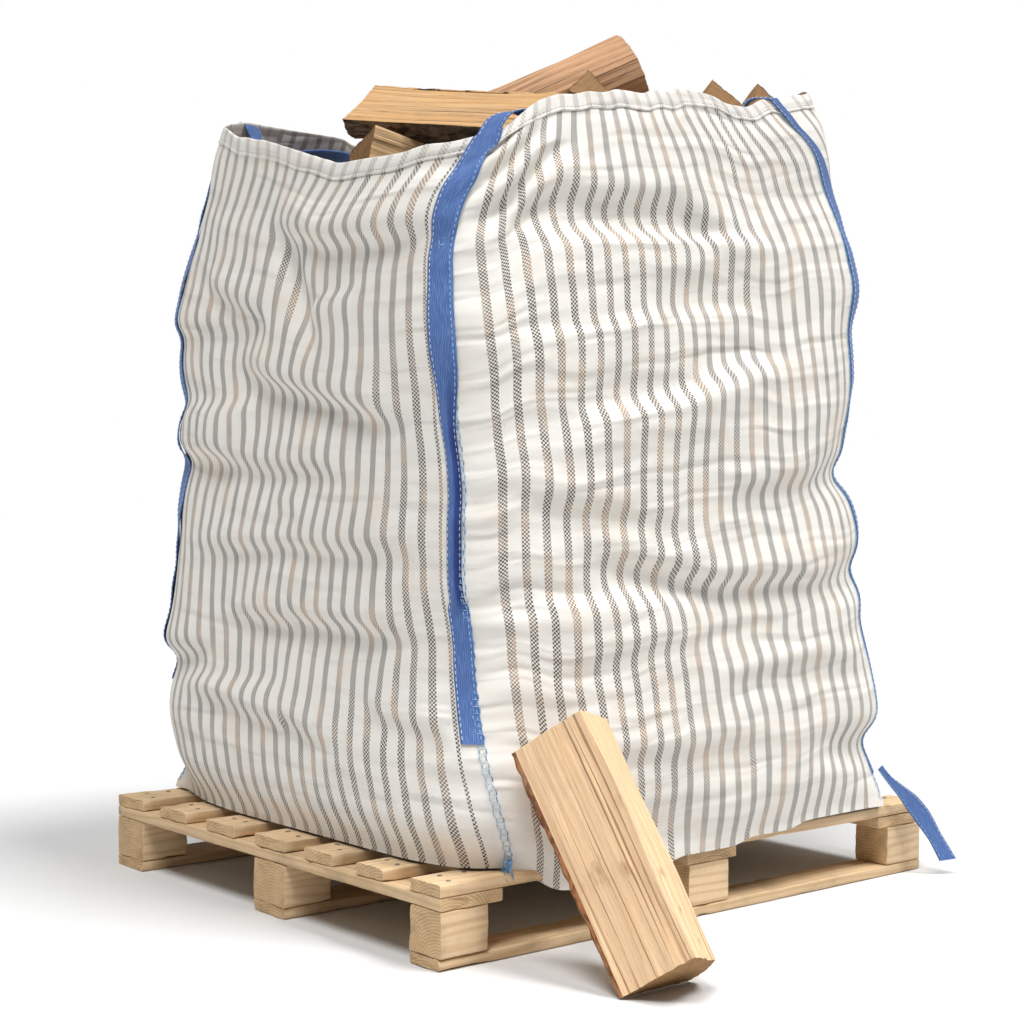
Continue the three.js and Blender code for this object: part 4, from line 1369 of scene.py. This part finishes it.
    def _loose_tail(self, draft: MeshDraft) -> None:
        """The strap's free end, which falls over the pallet's edge."""
        knots = np.array(self.tail)
        share = np.linspace(0, len(knots) - 1, 60)
        path = np.stack([np.interp(share, np.arange(len(knots)), knots[:, axis]) for axis in range(3)], 1)
        for _ in range(30):
            path[1:-1] = 0.5 * path[1:-1] + 0.25 * (path[2:] + path[:-2])
        along = unit(np.gradient(path, axis=0))
        width = np.interp(share, np.arange(len(knots)), self.tail_widths)
        side = unit(np.cross(along, np.array([-0.55, -0.8, 0.35])))
        t = np.linspace(0, 1, 60)
        face = np.stack([path + side * (s * width)[:, None] for s in np.linspace(-0.5, 0.5, self.lanes)], 1)
        end = smooth_step((t - 0.94) / 0.06)[:, None] * np.linspace(-0.006, 0.006, self.lanes)[None]
        face = face - along[:, None] * end[..., None]
        normal = grid_normals(face, False)
        plain = np.zeros(face.shape[:2])
        self._band(draft, face, normal, plain, plain)
        self._stitches(draft, face, normal)


@dataclass
class SeamThreads:
    """Chain stitches down the corner seams, and the tuft of cut thread ends at the front corner."""

    skin: BagSkin
    pale_blue: bpy.types.Material
    blue: bpy.types.Material
    white: bpy.types.Material
    pitch: float = 0.011
    tuft: int = 15

    def build(self) -> None:
        """Makes one piece of stitches per seam, and the tuft."""
        for seam, corner in enumerate(("front_left", "front_right", "back_right", "back_left")):
            draft = MeshDraft()
            self._chain(draft, seam)
            if seam == 0:
                self._knot(draft)
            settle(draft.build(f"seam_stitches_{corner}", [self.pale_blue, self.blue, self.white]),
                   Slot.WEBBING)

    def _chain(self, draft: MeshDraft, seam: int) -> None:
        """Two wavy lines of chain stitch with bars between them."""
        ups = np.linspace(0.012, 0.985, 900)
        middle = self.skin.at(np.full(900, float(seam)), ups)
        run = np.concatenate([[0], np.cumsum(np.linalg.norm(np.diff(middle, axis=0), axis=1))])
        count = int(run[-1] / self.pitch)
        sides = (-0.0035, 0.0055)
        for step in range(count):
            share = (np.linspace(0, 1, 5) * 0.82 + step) * self.pitch
            up = np.interp(share, run, ups)
            for number, side in enumerate(sides):
                bow = 0.0011 * np.sin(np.linspace(0, math.pi, 5)) * (1 if step % 2 else -1)
                path = self.skin.at(seam + (side + bow) / 0.92, up, 0.0016)
                draft.add_tube(path, 0.00095, 4, 0 if number == 0 else (1 if step % 3 else 0))
            rung = np.array([sides[0], 0.001, sides[1]])
            path = self.skin.at(seam + rung / 0.92, np.full(3, up[0]), 0.0020)
            draft.add_tube(path, 0.0007, 4, 0 if step % 4 else 2)

    def _knot(self, draft: MeshDraft) -> None:
        """Thread ends that hang in a tuft from the seam's foot."""
        random = np.random.default_rng(12)
        start = self.skin.at(0.0, 0.015, 0.004)
        for _ in range(self.tuft):
            swing = random.uniform(-1, 1, 3) * np.array([0.010, 0.010, 0.002])
            t = np.linspace(0, 1, 8)[:, None]
            drop = random.uniform(0.016, 0.036)
            curl = random.uniform(-1, 1, 3) * np.array([0.006, 0.006, 0.0])
            path = start + swing * t + np.array([-0.004, -0.006, 0.006]) * np.sin(t * math.pi)
            path = path + curl * np.sin(2 * math.pi * t) - np.array([0, 0, 1]) * drop * t ** 1.4
            draft.add_tube(path, 0.0008, 5, int(random.integers(0, 2)))


# ---------------------------------------------------------------- the wood


@dataclass
class LogShape:
    """A split log grown on a CAD log: its two ends give its axis, section and taper."""

    node: str
    woods: list[bpy.types.Material]
    rings: int = 60
    around: int = 72
    skin: LogSkin = LogSkin.BARK_ON_SHORT_EDGES
    seed: int = 0
    rough: float = 1.0
    sliver: float | None = None
    marks: tuple[tuple[float, float, float, float], ...] = ()

    def ends(self) -> tuple[np.ndarray, np.ndarray, np.ndarray]:
        """The axis, and the corner points at both ends in matching order."""
        mesh = bpy.data.objects[self.node].data
        normals = np.array([p.normal for p in mesh.polygons])
        areas = np.array([p.area for p in mesh.polygons])
        like = (np.abs(normals @ normals.T) > 0.9995).sum(1) + areas / areas.max() * 0.01
        axis = normals[int(np.argmax(like))]
        points = np.unique(np.round(np.array([v.co for v in mesh.vertices]), 5), axis=0)
        centre, along = points.mean(0), (points - points.mean(0)) @ axis
        side = unit(np.cross(axis, np.array([0.123, 0.456, 0.789])))
        up = np.cross(axis, side)
        rings = []
        for pick in (along < 0, along >= 0):
            ring = points[pick]
            flat = ring - ring.mean(0)
            rings.append(ring[np.argsort(np.arctan2(flat @ up, flat @ side))])
        first = rings[0] - rings[0].mean(0)
        best = min(range(len(rings[1])), key=lambda s: np.linalg.norm(
            np.cross(np.roll(rings[1], -s, 0) - rings[1].mean(0) - first, axis), axis=1).sum())
        return axis, rings[0], np.roll(rings[1], -best, 0)

    def draft(self, mesh: MeshDraft, numbers: tuple[int, int, int] = (0, 1, 2)) -> None:
        """Adds the log to a draft.

        Args:
            mesh: Where it goes.
            numbers: The material numbers of split faces, bark and sawn ends.
        """
        axis, near, far = self.ends()
        length = float(np.linalg.norm(far.mean(0) - near.mean(0)))
        edges = np.linalg.norm(np.roll(near, -1, 0) - near, axis=1)
        bark = edges < 0.62 * edges.max() if self.skin is LogSkin.BARK_ON_SHORT_EDGES else edges < 0
        run = np.concatenate([[0], np.cumsum(edges)])
        s = (np.arange(self.around) + 0.5) / self.around * run[-1]
        edge = np.clip(np.searchsorted(run, s, side="right") - 1, 0, len(edges) - 1)
        share = ((s - run[edge]) / edges[edge])[:, None]
        outline = [r[edge] * (1 - share) + np.roll(r, -1, 0)[edge] * share for r in (near, far)]
        for k in range(2):
            for _ in range(2):
                outline[k] = 0.5 * outline[k] + 0.25 * (np.roll(outline[k], 1, 0)
                                                        + np.roll(outline[k], -1, 0))
        t = np.linspace(0, 1, self.rings)[:, None, None]
        grid = outline[0][None] * (1 - t) + outline[1][None] * t
        middle = near.mean(0) * (1 - t) + far.mean(0) * t
        tangent = unit(np.roll(grid, -1, 1) - np.roll(grid, 1, 1))
        out = np.cross(tangent, axis)
        out *= np.sign(((grid - middle) * out).sum(-1).mean())
        x, y = np.broadcast_arrays(t[..., 0] * length, s[None])
        barked = bark[edge]
        if self.sliver is not None:
            barked = barked | (np.abs(s - self.sliver) < 0.014)
        lift = self._lift(x, y, barked[None], run)
        grid = grid + out * lift[..., None]
        ragged = 0.0007 * lattice_noise(s * 240, s * 0, self.seed + 5)[:, None] * axis
        grid[0] += ragged
        grid[-1] += np.roll(ragged, 7, 0)
        grid[..., 2] = np.maximum(grid[..., 2], 0.0004)
        mark = self._mark(x, y)
        shift = np.array([0.37, 0.61]) * (self.seed + 1)
        uv = np.stack(np.broadcast_arrays(t[..., 0] * length, np.append(s, run[-1] + s[0])[None]), -1) + shift
        finish = np.broadcast_to(np.where(barked, numbers[1], numbers[0])[None],
                                 (self.rings - 1, self.around))
        inward = ((grid[1, 0] - grid[0, 0]) @ np.cross(grid[0, 1] - grid[0, 0],
                                                       grid[0, 0] - middle[0, 0])) > 0
        mesh.add_grid(grid, uv, finish.copy(), closed=True, flip=bool(inward), mark=mark)
        pith = self._pith(near, edges)
        for ring, tip, sign in ((grid[0], near, 1), (grid[-1], far, -1)):
            self._cap(mesh, ring, tip, pith, axis * sign, numbers[2], bool(inward) ^ (sign < 0))

    def _lift(self, x: np.ndarray, y: np.ndarray, bark: np.ndarray, run: np.ndarray) -> np.ndarray:
        """How far each point of the outline stands proud, in metres."""
        n, r = self.seed * 10, self.rough
        wide = 3.2 * lattice_noise(x * 7 + 3, y * 14, n + 1)
        fibre = 1.3 * lattice_noise(x * 5, y * 90, n + 2) + 0.7 * lattice_noise(x * 9, y * 230, n + 3)
        ledge = 2.2 * smooth_step(lattice_noise(x * 4, y * 38, n + 4) * 3 - 0.4)
        plates = 3.4 * np.abs(lattice_noise(x * 34, y * 70, n + 6)) + 1.5 * lattice_noise(x * 80, y * 120,
                                                                                          n + 7)
        lift = np.where(bark, plates + wide * 0.6 - 2.0, (wide + fibre + ledge - 1.5) * r)
        if self.sliver is not None:
            lift = lift + 6.0 * np.exp(-(((y - self.sliver) / 0.008) ** 2)) * (1 + 0.5
                                                                               * lattice_noise(x * 12, x * 0,
                                                                                               n + 12))
        for number in range(3):
            place = run[-1] * (0.21 + 0.29 * number + 0.05 * (self.seed % 3))
            swing = 0.004 * lattice_noise(x * 8, x * 0 + number, n + 8)
            reach = smooth_step((0.5 + 0.5 * lattice_noise(x * 6, x * 0 + 9 * number, n + 9)) * 2.6 - 1.3)
            lift = lift - 3.0 * r * reach * np.exp(-(((y - place - swing) / 0.0016) ** 2))
        for far, across, radius, depth in self.marks:
            near = np.hypot((x - far) * 0.8, y - across) / radius
            lift = lift + np.sign(depth) * 3.0 * np.exp(-(near ** 2)) * (1 - 1.2
                                                                         * np.exp(-((near * 2.4) ** 2)))
        return lift * MM

    def _mark(self, x: np.ndarray, y: np.ndarray) -> np.ndarray:
        """Where knots and stains darken the wood."""
        mark = np.zeros(x.shape)
        for far, across, radius, depth in self.marks:
            near = np.hypot((x - far) * 0.7, y - across) / radius + 0.35 * lattice_noise(x * 150, y * 190,
                                                                                         self.seed + 40)
            rings = 0.72 + 0.28 * np.cos(near * 8)
            mark = np.maximum(mark, abs(depth) * rings * smooth_step(1.3 - near))
        return mark

    @staticmethod
    def _pith(ring: np.ndarray, edges: np.ndarray) -> np.ndarray:
        """Where the tree's middle was: the sharpest corner, or the middle of a half round's flat face."""
        before, after = unit(np.roll(ring, 1, 0) - ring), unit(np.roll(ring, -1, 0) - ring)
        sharp = int(np.argmax((before * after).sum(1)))
        if len(ring) > 6:
            widest = int(np.argmax(edges))
            return 0.5 * (ring[widest] + ring[(widest + 1) % len(ring)])
        return ring[sharp]

    def _cap(self, mesh: MeshDraft, ring: np.ndarray, tip: np.ndarray, pith: np.ndarray, axis: np.ndarray,
             number: int, flip: bool) -> None:
        """Closes an end with a sawn face."""
        centre = tip.mean(0)
        side = unit(tip[1] - tip[0])
        up = np.cross(axis, side)
        shares = (1.0, 0.985, 0.9, 0.75, 0.58, 0.4, 0.22, 0.06)
        grid = np.stack([centre + (ring - centre) * k for k in shares])
        flat = grid - pith
        uv = np.stack([flat @ side, flat @ up], -1)
        saw = 0.0005 * lattice_noise(uv[..., 0] * 60, uv[..., 1] * 300, self.seed + 15)
        grid[1:] += axis * (saw[1:, :, None] + 0.0006)
        uv = np.concatenate([uv, uv[:, :1]], 1)
        mesh.add_grid(grid, uv, number, closed=True, flip=flip)
        start = mesh.total - self.around
        last = np.arange(self.around)[::1 if flip else -1] + start
        mesh.faces.append(last[::-1].tolist())
        mesh.uvs.append(uv[-1, :self.around][last[::-1] - start])
        mesh.finishes.append(number)


@dataclass
class Firewood:
    """Every log: those that show at the mouth, those under them, and the one that leans outside."""

    nodes: dict[str, bpy.types.Object]
    palette: dict[str, bpy.types.Material]

    def build(self) -> None:
        """Makes all the logs."""
        p = self.palette
        shown = (
            ("log_broad_face", "tan", 110, 150, ((0.18, 0.10, 0.016, 0.35),)),
            ("log_small_wedge", "pale", 90, 120, ()),
            ("log_tall_round", "pink", 110, 150, ((0.30, 0.07, 0.03, 0.5),)),
            ("log_tip_middle", "pale", 90, 110, ()),
            ("log_tip_right", "tan", 90, 110, ()),
            ("log_tip_far_right", "tan", 90, 110, ()),
        )
        for seed, (node, wood, rings, around, marks) in enumerate(shown):
            bare = LogSkin.SPLIT_ALL_ROUND if node.startswith(("log_tall",
                                                               "log_tip")) else LogSkin.BARK_ON_SHORT_EDGES
            shape = LogShape(node, [], rings, around, bare, seed + 1, marks=marks)
            self._single(shape, [p[wood], p["bark"], p["end"]])
        knots = ((0.259, 0.482, 0.010, 0.25), (0.178, 0.400, 0.016, 0.45), (0.162, 0.443, 0.009, 0.55),
                 (0.1355, 0.022, 0.008, 0.65), (0.077, 0.029, 0.004, 0.9), (0.029, 0.065, 0.004, 0.9))
        leaning = LogShape("log_leaning", [], 150, 200, LogSkin.SPLIT_ALL_ROUND, seed=9, rough=0.9,
                           sliver=0.338, marks=knots)
        self._single(leaning, [p["leaning"], p["inner_bark"], p["fresh_end"]])
        woods = ("tan", "pale", "pink", "brown")
        for seed, node in enumerate(sorted(n for n in self.nodes if n.startswith("log_fill"))):
            shape = LogShape(node, [], 46, 60, seed=seed + 20)
            self._single(shape, [p[woods[seed % 4]], p["bark"], p["end"]])
        self._stack()

    @staticmethod
    def _single(shape: LogShape, materials: list[bpy.types.Material]) -> None:
        """One log as its own piece."""
        draft = MeshDraft()
        shape.draft(draft)
        settle(draft.build(shape.node.replace("log_", "split_log_"), materials, "grain"), Slot.SPLIT_WOOD,
               shape.node)

    def _stack(self) -> None:
        """The logs packed inside the bag, course on course, in place of the plain load."""
        low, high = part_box("log_load")
        random = np.random.default_rng(5)
        draft = MeshDraft()
        courses, size = 11, (high.z - low.z) / 11
        for course in range(courses):
            turned = course % 2
            for lane in range(9):
                for half in (-1, 1):
                    centre = np.array([half * 0.205, -0.37 + lane * 0.0925, 0.0])
                    if turned:
                        centre = centre[[1, 0, 2]]
                    centre[2] = low.z + (course + 0.5) * size
                    self._plain_log(draft, centre, turned, size * 0.47, random)
        p = self.palette
        settle(draft.build("stacked_logs", [p["tan"], p["bark"], p["end"]], "grain"), Slot.SPLIT_WOOD,
               "log_load")

    @staticmethod
    def _plain_log(draft: MeshDraft, centre: np.ndarray, turned: int, radius: float,
                   random: np.random.Generator) -> None:
        """One quarter log of a stack."""
        count, rings, first = 14, 7, random.uniform(0, TURN)
        turn = np.arange(count) / count * TURN
        profile = np.where(np.arange(count) < 8, 1.0, 0.80 + 0.20 * np.abs(np.cos(turn * 1.5))) * radius
        profile = profile * random.uniform(0.93, 1.0, count)
        x = np.linspace(-0.19, 0.19, rings)
        rough = 1 + 0.04 * random.uniform(-1, 1, (rings, count))
        a, b = (profile * rough) * np.cos(turn + first), (profile * rough) * np.sin(turn + first)
        along = np.broadcast_to(x[:, None], a.shape)
        grid = np.stack([a, along, b] if turned else [along, a, b], -1) + centre
        s = np.append(turn, TURN) * radius
        uv = np.stack(np.broadcast_arrays(x[:, None], s[None]), -1) + random.uniform(0, 5, 2)
        finish = np.broadcast_to((np.arange(count) < 8).astype(int)[None], (rings - 1, count))
        draft.add_grid(grid, uv, finish.copy(), closed=True, flip=not turned)
        for ring, order in ((0, 1), (rings - 1, -1)):
            cap = (np.arange(count)[::order if not turned else -order] + draft.total - rings * count + ring
                   * count)
            draft.faces.append(cap.tolist())
            draft.uvs.append(np.stack([np.cos(turn), np.sin(turn)], 1) * radius)
            draft.finishes.append(2)


@dataclass
class Pallet:
    """A nine block pine pallet: each CAD board with sawn faces, worn edges, end grain and nail heads."""

    nodes: dict[str, bpy.types.Object]
    palette: dict[str, bpy.types.Material]
    edge: float = 0.0028
    nail_radius: float = 0.0042

    def build(self) -> None:
        """Makes every board and the nails."""
        names = sorted(n for n in self.nodes
                       if n.startswith(("deck_board", "stringer", "block", "bottom_board")))
        for seed, name in enumerate(names):
            dull = name.startswith(("bottom_board", "stringer"))
            block = name.startswith("block")
            wood = self.palette["pine_dirty" if dull else "pine_block" if block else "pine"]
            self._board(name, seed, [wood, self.palette["pine_end"]], block)
        self._nails()

    def _board(self, name: str, seed: int, materials: list[bpy.types.Material], block: bool) -> None:
        """One board, swept along its longer side."""
        low, high = (np.array(c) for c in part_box(name))
        size = high - low
        long = 0 if size[0] >= size[1] else 1
        wide = 1 - long
        if block:
            long, wide = 0, 1
        length, breadth, thick = size[long], size[wide], size[2]
        profile, place = self._profile(breadth, thick)
        rings = max(8, int(length / 0.012))
        x = np.linspace(0, length, rings)
        x[[1, -2]] = (0.0022, length - 0.0022)
        grid = np.zeros((rings, len(profile), 3))
        grid[..., long] = x[:, None]
        grid[..., wide], grid[..., 2] = profile[None, :, 0], profile[None, :, 1]
        out = profile - np.array([breadth, thick]) / 2
        corner = (np.abs(out[:, 0]) > breadth / 2 - self.edge * 1.2) & (np.abs(out[:, 1]) > thick / 2
                                                                        - self.edge * 1.2)
        s = place[None] + seed
        rough = 0.00035 * lattice_noise(x[:, None] * 40, s * 160,
                                        seed) + 0.00045 * lattice_noise(x[:, None] * 9, s * 40, seed + 50)
        chips = 0.0032 * smooth_step(lattice_noise(x[:, None] * 34, s * 24, seed + 70) * 2.2
                                     - 1.0) * corner[None]
        way = unit(np.stack([out[:, 0] / breadth, out[:, 1] / thick], 1))
        push = rough - chips - 0.0005
        grid[..., wide] += way[None, :, 0] * push
        grid[..., 2] += way[None, :, 1] * push
        ends = 0.0016 * lattice_noise(place * 70, place * 0 + seed, seed + 90) - 0.0012
        grid[0, :, long] -= ends
        grid[-1, :, long] += np.roll(ends, 3)
        for row in (0, -1):
            middle = grid[row].mean(0)
            grid[row] = middle + (grid[row] - middle) * np.where(np.arange(3) == long, 1,
                                                                 0.972 if thick < 0.05 else 0.985)
        grid += low
        girth = np.append(place, place[-1] + 0.004)
        uv = np.stack(np.broadcast_arrays(x[:, None], girth[None]), -1) + np.array([0.83, 0.47]) * (seed + 1)
        draft = MeshDraft()
        flip = long == 1
        stain = smooth_step(0.6 + lattice_noise(x[:, None] * 5, s * 6, seed + 33) * 2.0 - 1.5) * 0.35
        draft.add_grid(grid, uv, closed=True, flip=not flip, mark=stain)
        for row, sign in ((0, 1), (-1, -1)):
            self._end(draft, grid[row], long, wide, sign, flip, seed)
        settle(draft.build(f"pine_{name}", materials, "grain"), Slot.PALLET_PINE, name)

    def _profile(self, breadth: float, thick: float) -> tuple[np.ndarray, np.ndarray]:
        """A rounded rectangle's points and their places round it."""
        e, points = self.edge, []
        corners = ((breadth - e, thick - e, 0), (e, thick - e, 1), (e, e, 2), (breadth - e, e, 3))
        for number, (cx, cy, quarter) in enumerate(corners):
            for turn in np.linspace(0, 1, 4):
                a = (quarter + turn) * math.pi / 2
                points.append((cx + e * math.cos(a), cy + e * math.sin(a)))
            nx, ny, _ = corners[(number + 1) % 4]
            a = (quarter + 1) * math.pi / 2
            start = np.array([cx + e * math.cos(a), cy + e * math.sin(a)])
            end = np.array([nx + e * math.cos(a), ny + e * math.sin(a)])
            pieces = max(2, int(np.linalg.norm(end - start) / 0.008))
            points += [tuple(start + (end - start) * k / pieces) for k in range(1, pieces)]
        profile = np.array(points)
        steps = np.linalg.norm(np.roll(profile, -1, 0) - profile, axis=1)
        return profile, np.concatenate([[0], np.cumsum(steps)[:-1]])

    @staticmethod
    def _end(draft: MeshDraft, ring: np.ndarray, long: int, wide: int, sign: int, flip: bool,
             seed: int) -> None:
        """Closes a board's end with end grain."""
        centre = ring.mean(0)
        shares = np.array([1.0, 0.94, 0.8, 0.6, 0.4, 0.2, 0.03])
        grid = centre + (ring[None] - centre) * shares[:, None, None]
        grid[1:, :, long] += sign * 0.0007 * lattice_noise(grid[1:, :, wide] * 150, grid[1:, :, 2] * 90,
                                                           seed + 8)
        uv = np.stack([grid[..., wide] - centre[wide] + 0.01 * (seed % 5),
                       grid[..., 2] - centre[2] + 0.05 + 0.012 * (seed % 3)], -1)
        uv = np.concatenate([uv, uv[:, :1]], 1)
        draft.add_grid(grid, uv, 1, closed=True, flip=(sign > 0) == flip)
        count = len(ring)
        start = draft.total - count
        order = 1 if (sign > 0) == flip else -1
        last = np.arange(count)[::-order]
        draft.faces.append((last + start).tolist())
        draft.uvs.append(uv[-1, :count][last])
        draft.finishes.append(1)

    def _nails(self) -> None:
        """Nail heads where the deck boards cross the stringers."""
        draft, random = MeshDraft(), np.random.default_rng(3)
        turn = np.arange(10) / 10 * TURN
        for board in sorted(n for n in self.nodes if n.startswith("deck_board")):
            low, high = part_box(board)
            for stringer in ("left", "middle", "right"):
                left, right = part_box(f"stringer_{stringer}")
                for share_x, share_y in ((0.3, 0.28), (0.68, 0.70), (0.4, 0.74)):
                    x = left.x + (right.x - left.x) * (share_x + random.uniform(-0.07, 0.07))
                    y = low.y + (high.y - low.y) * (share_y + random.uniform(-0.06, 0.06))
                    rings = [(1.0, -0.0008), (1.0, 0.0002), (0.85, 0.0005), (0.3, 0.0003)]
                    grid = np.stack([np.stack([x + np.cos(turn) * self.nail_radius * k,
                                               y + np.sin(turn) * self.nail_radius * k,
                                               np.full(10, high.z + up)], 1) for k, up in rings])
                    draft.add_grid(grid, np.zeros((4, 11, 2)), closed=True)
                    draft.faces.append((np.arange(10) + draft.total - 10).tolist())
                    draft.uvs.append(np.zeros((10, 2)))
                    draft.finishes.append(0)
        settle(draft.build("nail_heads", [self.palette["nail"]], "grain"), None)


# ---------------------------------------------------------------- studio


@dataclass(frozen=True)
class SoftLight:
    """One broad, far, soft light."""

    place: tuple[float, float, float]
    power: float
    spread: float


@dataclass
class Studio:
    """The camera, the floor and the light."""

    place: tuple[float, float, float] = (-2.3875, -2.7187, 0.7848)
    forward: tuple[float, float, float] = (0.654276, 0.755797, -0.026336)
    up: tuple[float, float, float] = (0.009318, 0.026764, 0.999598)
    lens: float = 65.71
    floor_size: float = 40.0
    ambient: float = 0.20
    lights: tuple[SoftLight, ...] = (
        SoftLight((0.8, -1.5, 3.3), 2.35, 20.0),
        SoftLight((-1.35, -0.85, 3.6), 2.1, 22.0),
    )

    def build(self) -> None:
        """Makes the camera, the floor, the lights and the world."""
        scene = bpy.context.scene
        camera = bpy.data.objects.new("camera", bpy.data.cameras.new("camera"))
        scene.collection.objects.link(camera)
        forward, up = Vector(self.forward).normalized(), Vector(self.up)
        right = forward.cross(up).normalized()
        up = right.cross(forward)
        matrix = Matrix((right, up, -forward)).transposed().to_4x4()
        matrix.translation = self.place
        camera.matrix_world = matrix
        camera.data.sensor_width, camera.data.lens = 36.0, self.lens
        camera.data.clip_end = 100.0
        scene.camera = camera
        self._floor()
        for number, light in enumerate(self.lights):
            data = bpy.data.lights.new(f"soft_light_{number}", "SUN")
            data.energy, data.angle = light.power, math.radians(light.spread)
            lamp = bpy.data.objects.new(data.name, data)
            scene.collection.objects.link(lamp)
            lamp.location = light.place
            lamp.rotation_euler = (-lamp.location).to_track_quat("-Z", "Y").to_euler()
        world = bpy.data.worlds.new("studio")
        world.use_nodes = True
        g = Graph(world.node_tree)
        background = world.node_tree.nodes["Background"]
        background.inputs[0].default_value = (1, 1, 1, 1)
        seen = g.node("LightPath").outputs["Is Camera Ray"]
        g.feed(background.inputs[1], g.span(seen, 0.0, 1.0, self.ambient, 1.0))
        scene.world = world
        scene.view_settings.view_transform = "Standard"

    def _floor(self) -> None:
        """The floor, which isn't part of the object."""
        line = np.linspace(-self.floor_size / 2, self.floor_size / 2, 9)
        x, y = np.meshgrid(line, line)
        draft = MeshDraft()
        draft.add_grid(np.stack([x, y, np.full_like(x, -0.0006)], -1), np.stack([x, y], -1))
        floor = draft.build("floor", [FloorFinish().build()])


# ---------------------------------------------------------------- everything


def corners(box: tuple[Vector, Vector]) -> list[list[float]]:
    """A box as plain lists."""
    return [list(map(float, c)) for c in box]


def make_palette(effects: Effects) -> dict[str, bpy.types.Material]:
    """Every finish of the wood, by a short name."""
    finishes = {
        "tan": SplitWoodFinish("split_wood_tan", pale=(0.68, 0.425, 0.205), staining=0.7, grey=0.3),
        "pale": SplitWoodFinish("split_wood_pale", pale=(0.78, 0.53, 0.29), dark=(0.52, 0.29, 0.13),
                                staining=0.3),
        "pink": SplitWoodFinish("split_wood_pink", pale=(0.66, 0.39, 0.22), dark=(0.42, 0.20, 0.095),
                                staining=0.7),
        "brown": SplitWoodFinish("split_wood_brown", pale=(0.46, 0.27, 0.135), dark=(0.27, 0.14, 0.065),
                                 staining=0.6),
        "leaning": SplitWoodFinish("split_wood_leaning", pale=(0.94, 0.66, 0.41), dark=(0.80, 0.50, 0.27),
                                   stain=(0.30, 0.135, 0.058), bands=60.0, staining=0.3, grey=0.06,
                                   splits=0.75),
        "bark": BarkFinish(),
        "inner_bark": BarkFinish("inner_bark", ridge=(0.40, 0.175, 0.075), crack=(0.15, 0.055, 0.024)),
        "end": SawnEndFinish("sawn_end"),
        "fresh_end": SawnEndFinish("sawn_end_fresh", pale=(0.46, 0.27, 0.12), dark=(0.27, 0.14, 0.055)),
        "pine": PineFinish("pallet_pine_deck", pale=(0.78, 0.57, 0.35), dark=(0.54, 0.335, 0.165)),
        "pine_block": PineFinish("pallet_pine_block", pale=(0.80, 0.59, 0.37), dark=(0.54, 0.33, 0.165),
                                 knots=12.0, dirt=0.3),
        "pine_dirty": PineFinish("pallet_pine_worn", pale=(0.70, 0.51, 0.31), dirt=0.6),
        "pine_end": SawnEndFinish("pallet_end_grain", pale=(0.72, 0.51, 0.30), dark=(0.47, 0.29, 0.14),
                                  ring=0.0052),
        "nail": NailFinish(),
    }
    return {name: finish.build(effects) for name, finish in finishes.items()}


def main() -> None:
    """Builds the classes in order."""
    logging.basicConfig(level=logging.INFO, format="%(message)s")
    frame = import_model()
    nodes = frame["nodes"]
    Studio().build()
    effects = Effects()
    palette = make_palette(effects)
    webbing = WebbingFinish().build(effects)
    pale_blue = ThreadFinish("thread_pale_blue", (0.45, 0.68, 0.86), (0.20, 0.42, 0.66)).build(effects)
    white = ThreadFinish("thread_white", (0.80, 0.84, 0.90), (0.52, 0.60, 0.74)).build(effects)
    blue = ThreadFinish("thread_blue", (0.12, 0.40, 0.75), (0.05, 0.18, 0.45)).build(effects)
    hem_thread = ThreadFinish("thread_taupe", (0.30, 0.25, 0.20), (0.16, 0.13, 0.10)).build(effects)
    cloth = ClothFinish().build(effects)
    hem_cloth = ClothFinish("hem_cloth", fade=0.5).build(effects)
    skin = BagSkin(nodes)
    BagPanels(skin, cloth, hem_cloth, hem_thread).build()
    LiftingStraps(skin, webbing, white, pale_blue).build()
    SeamThreads(skin, pale_blue, blue, white).build()
    Firewood(nodes, palette).build()
    Pallet(nodes, palette).build()


if __name__ == "__main__":
    main()
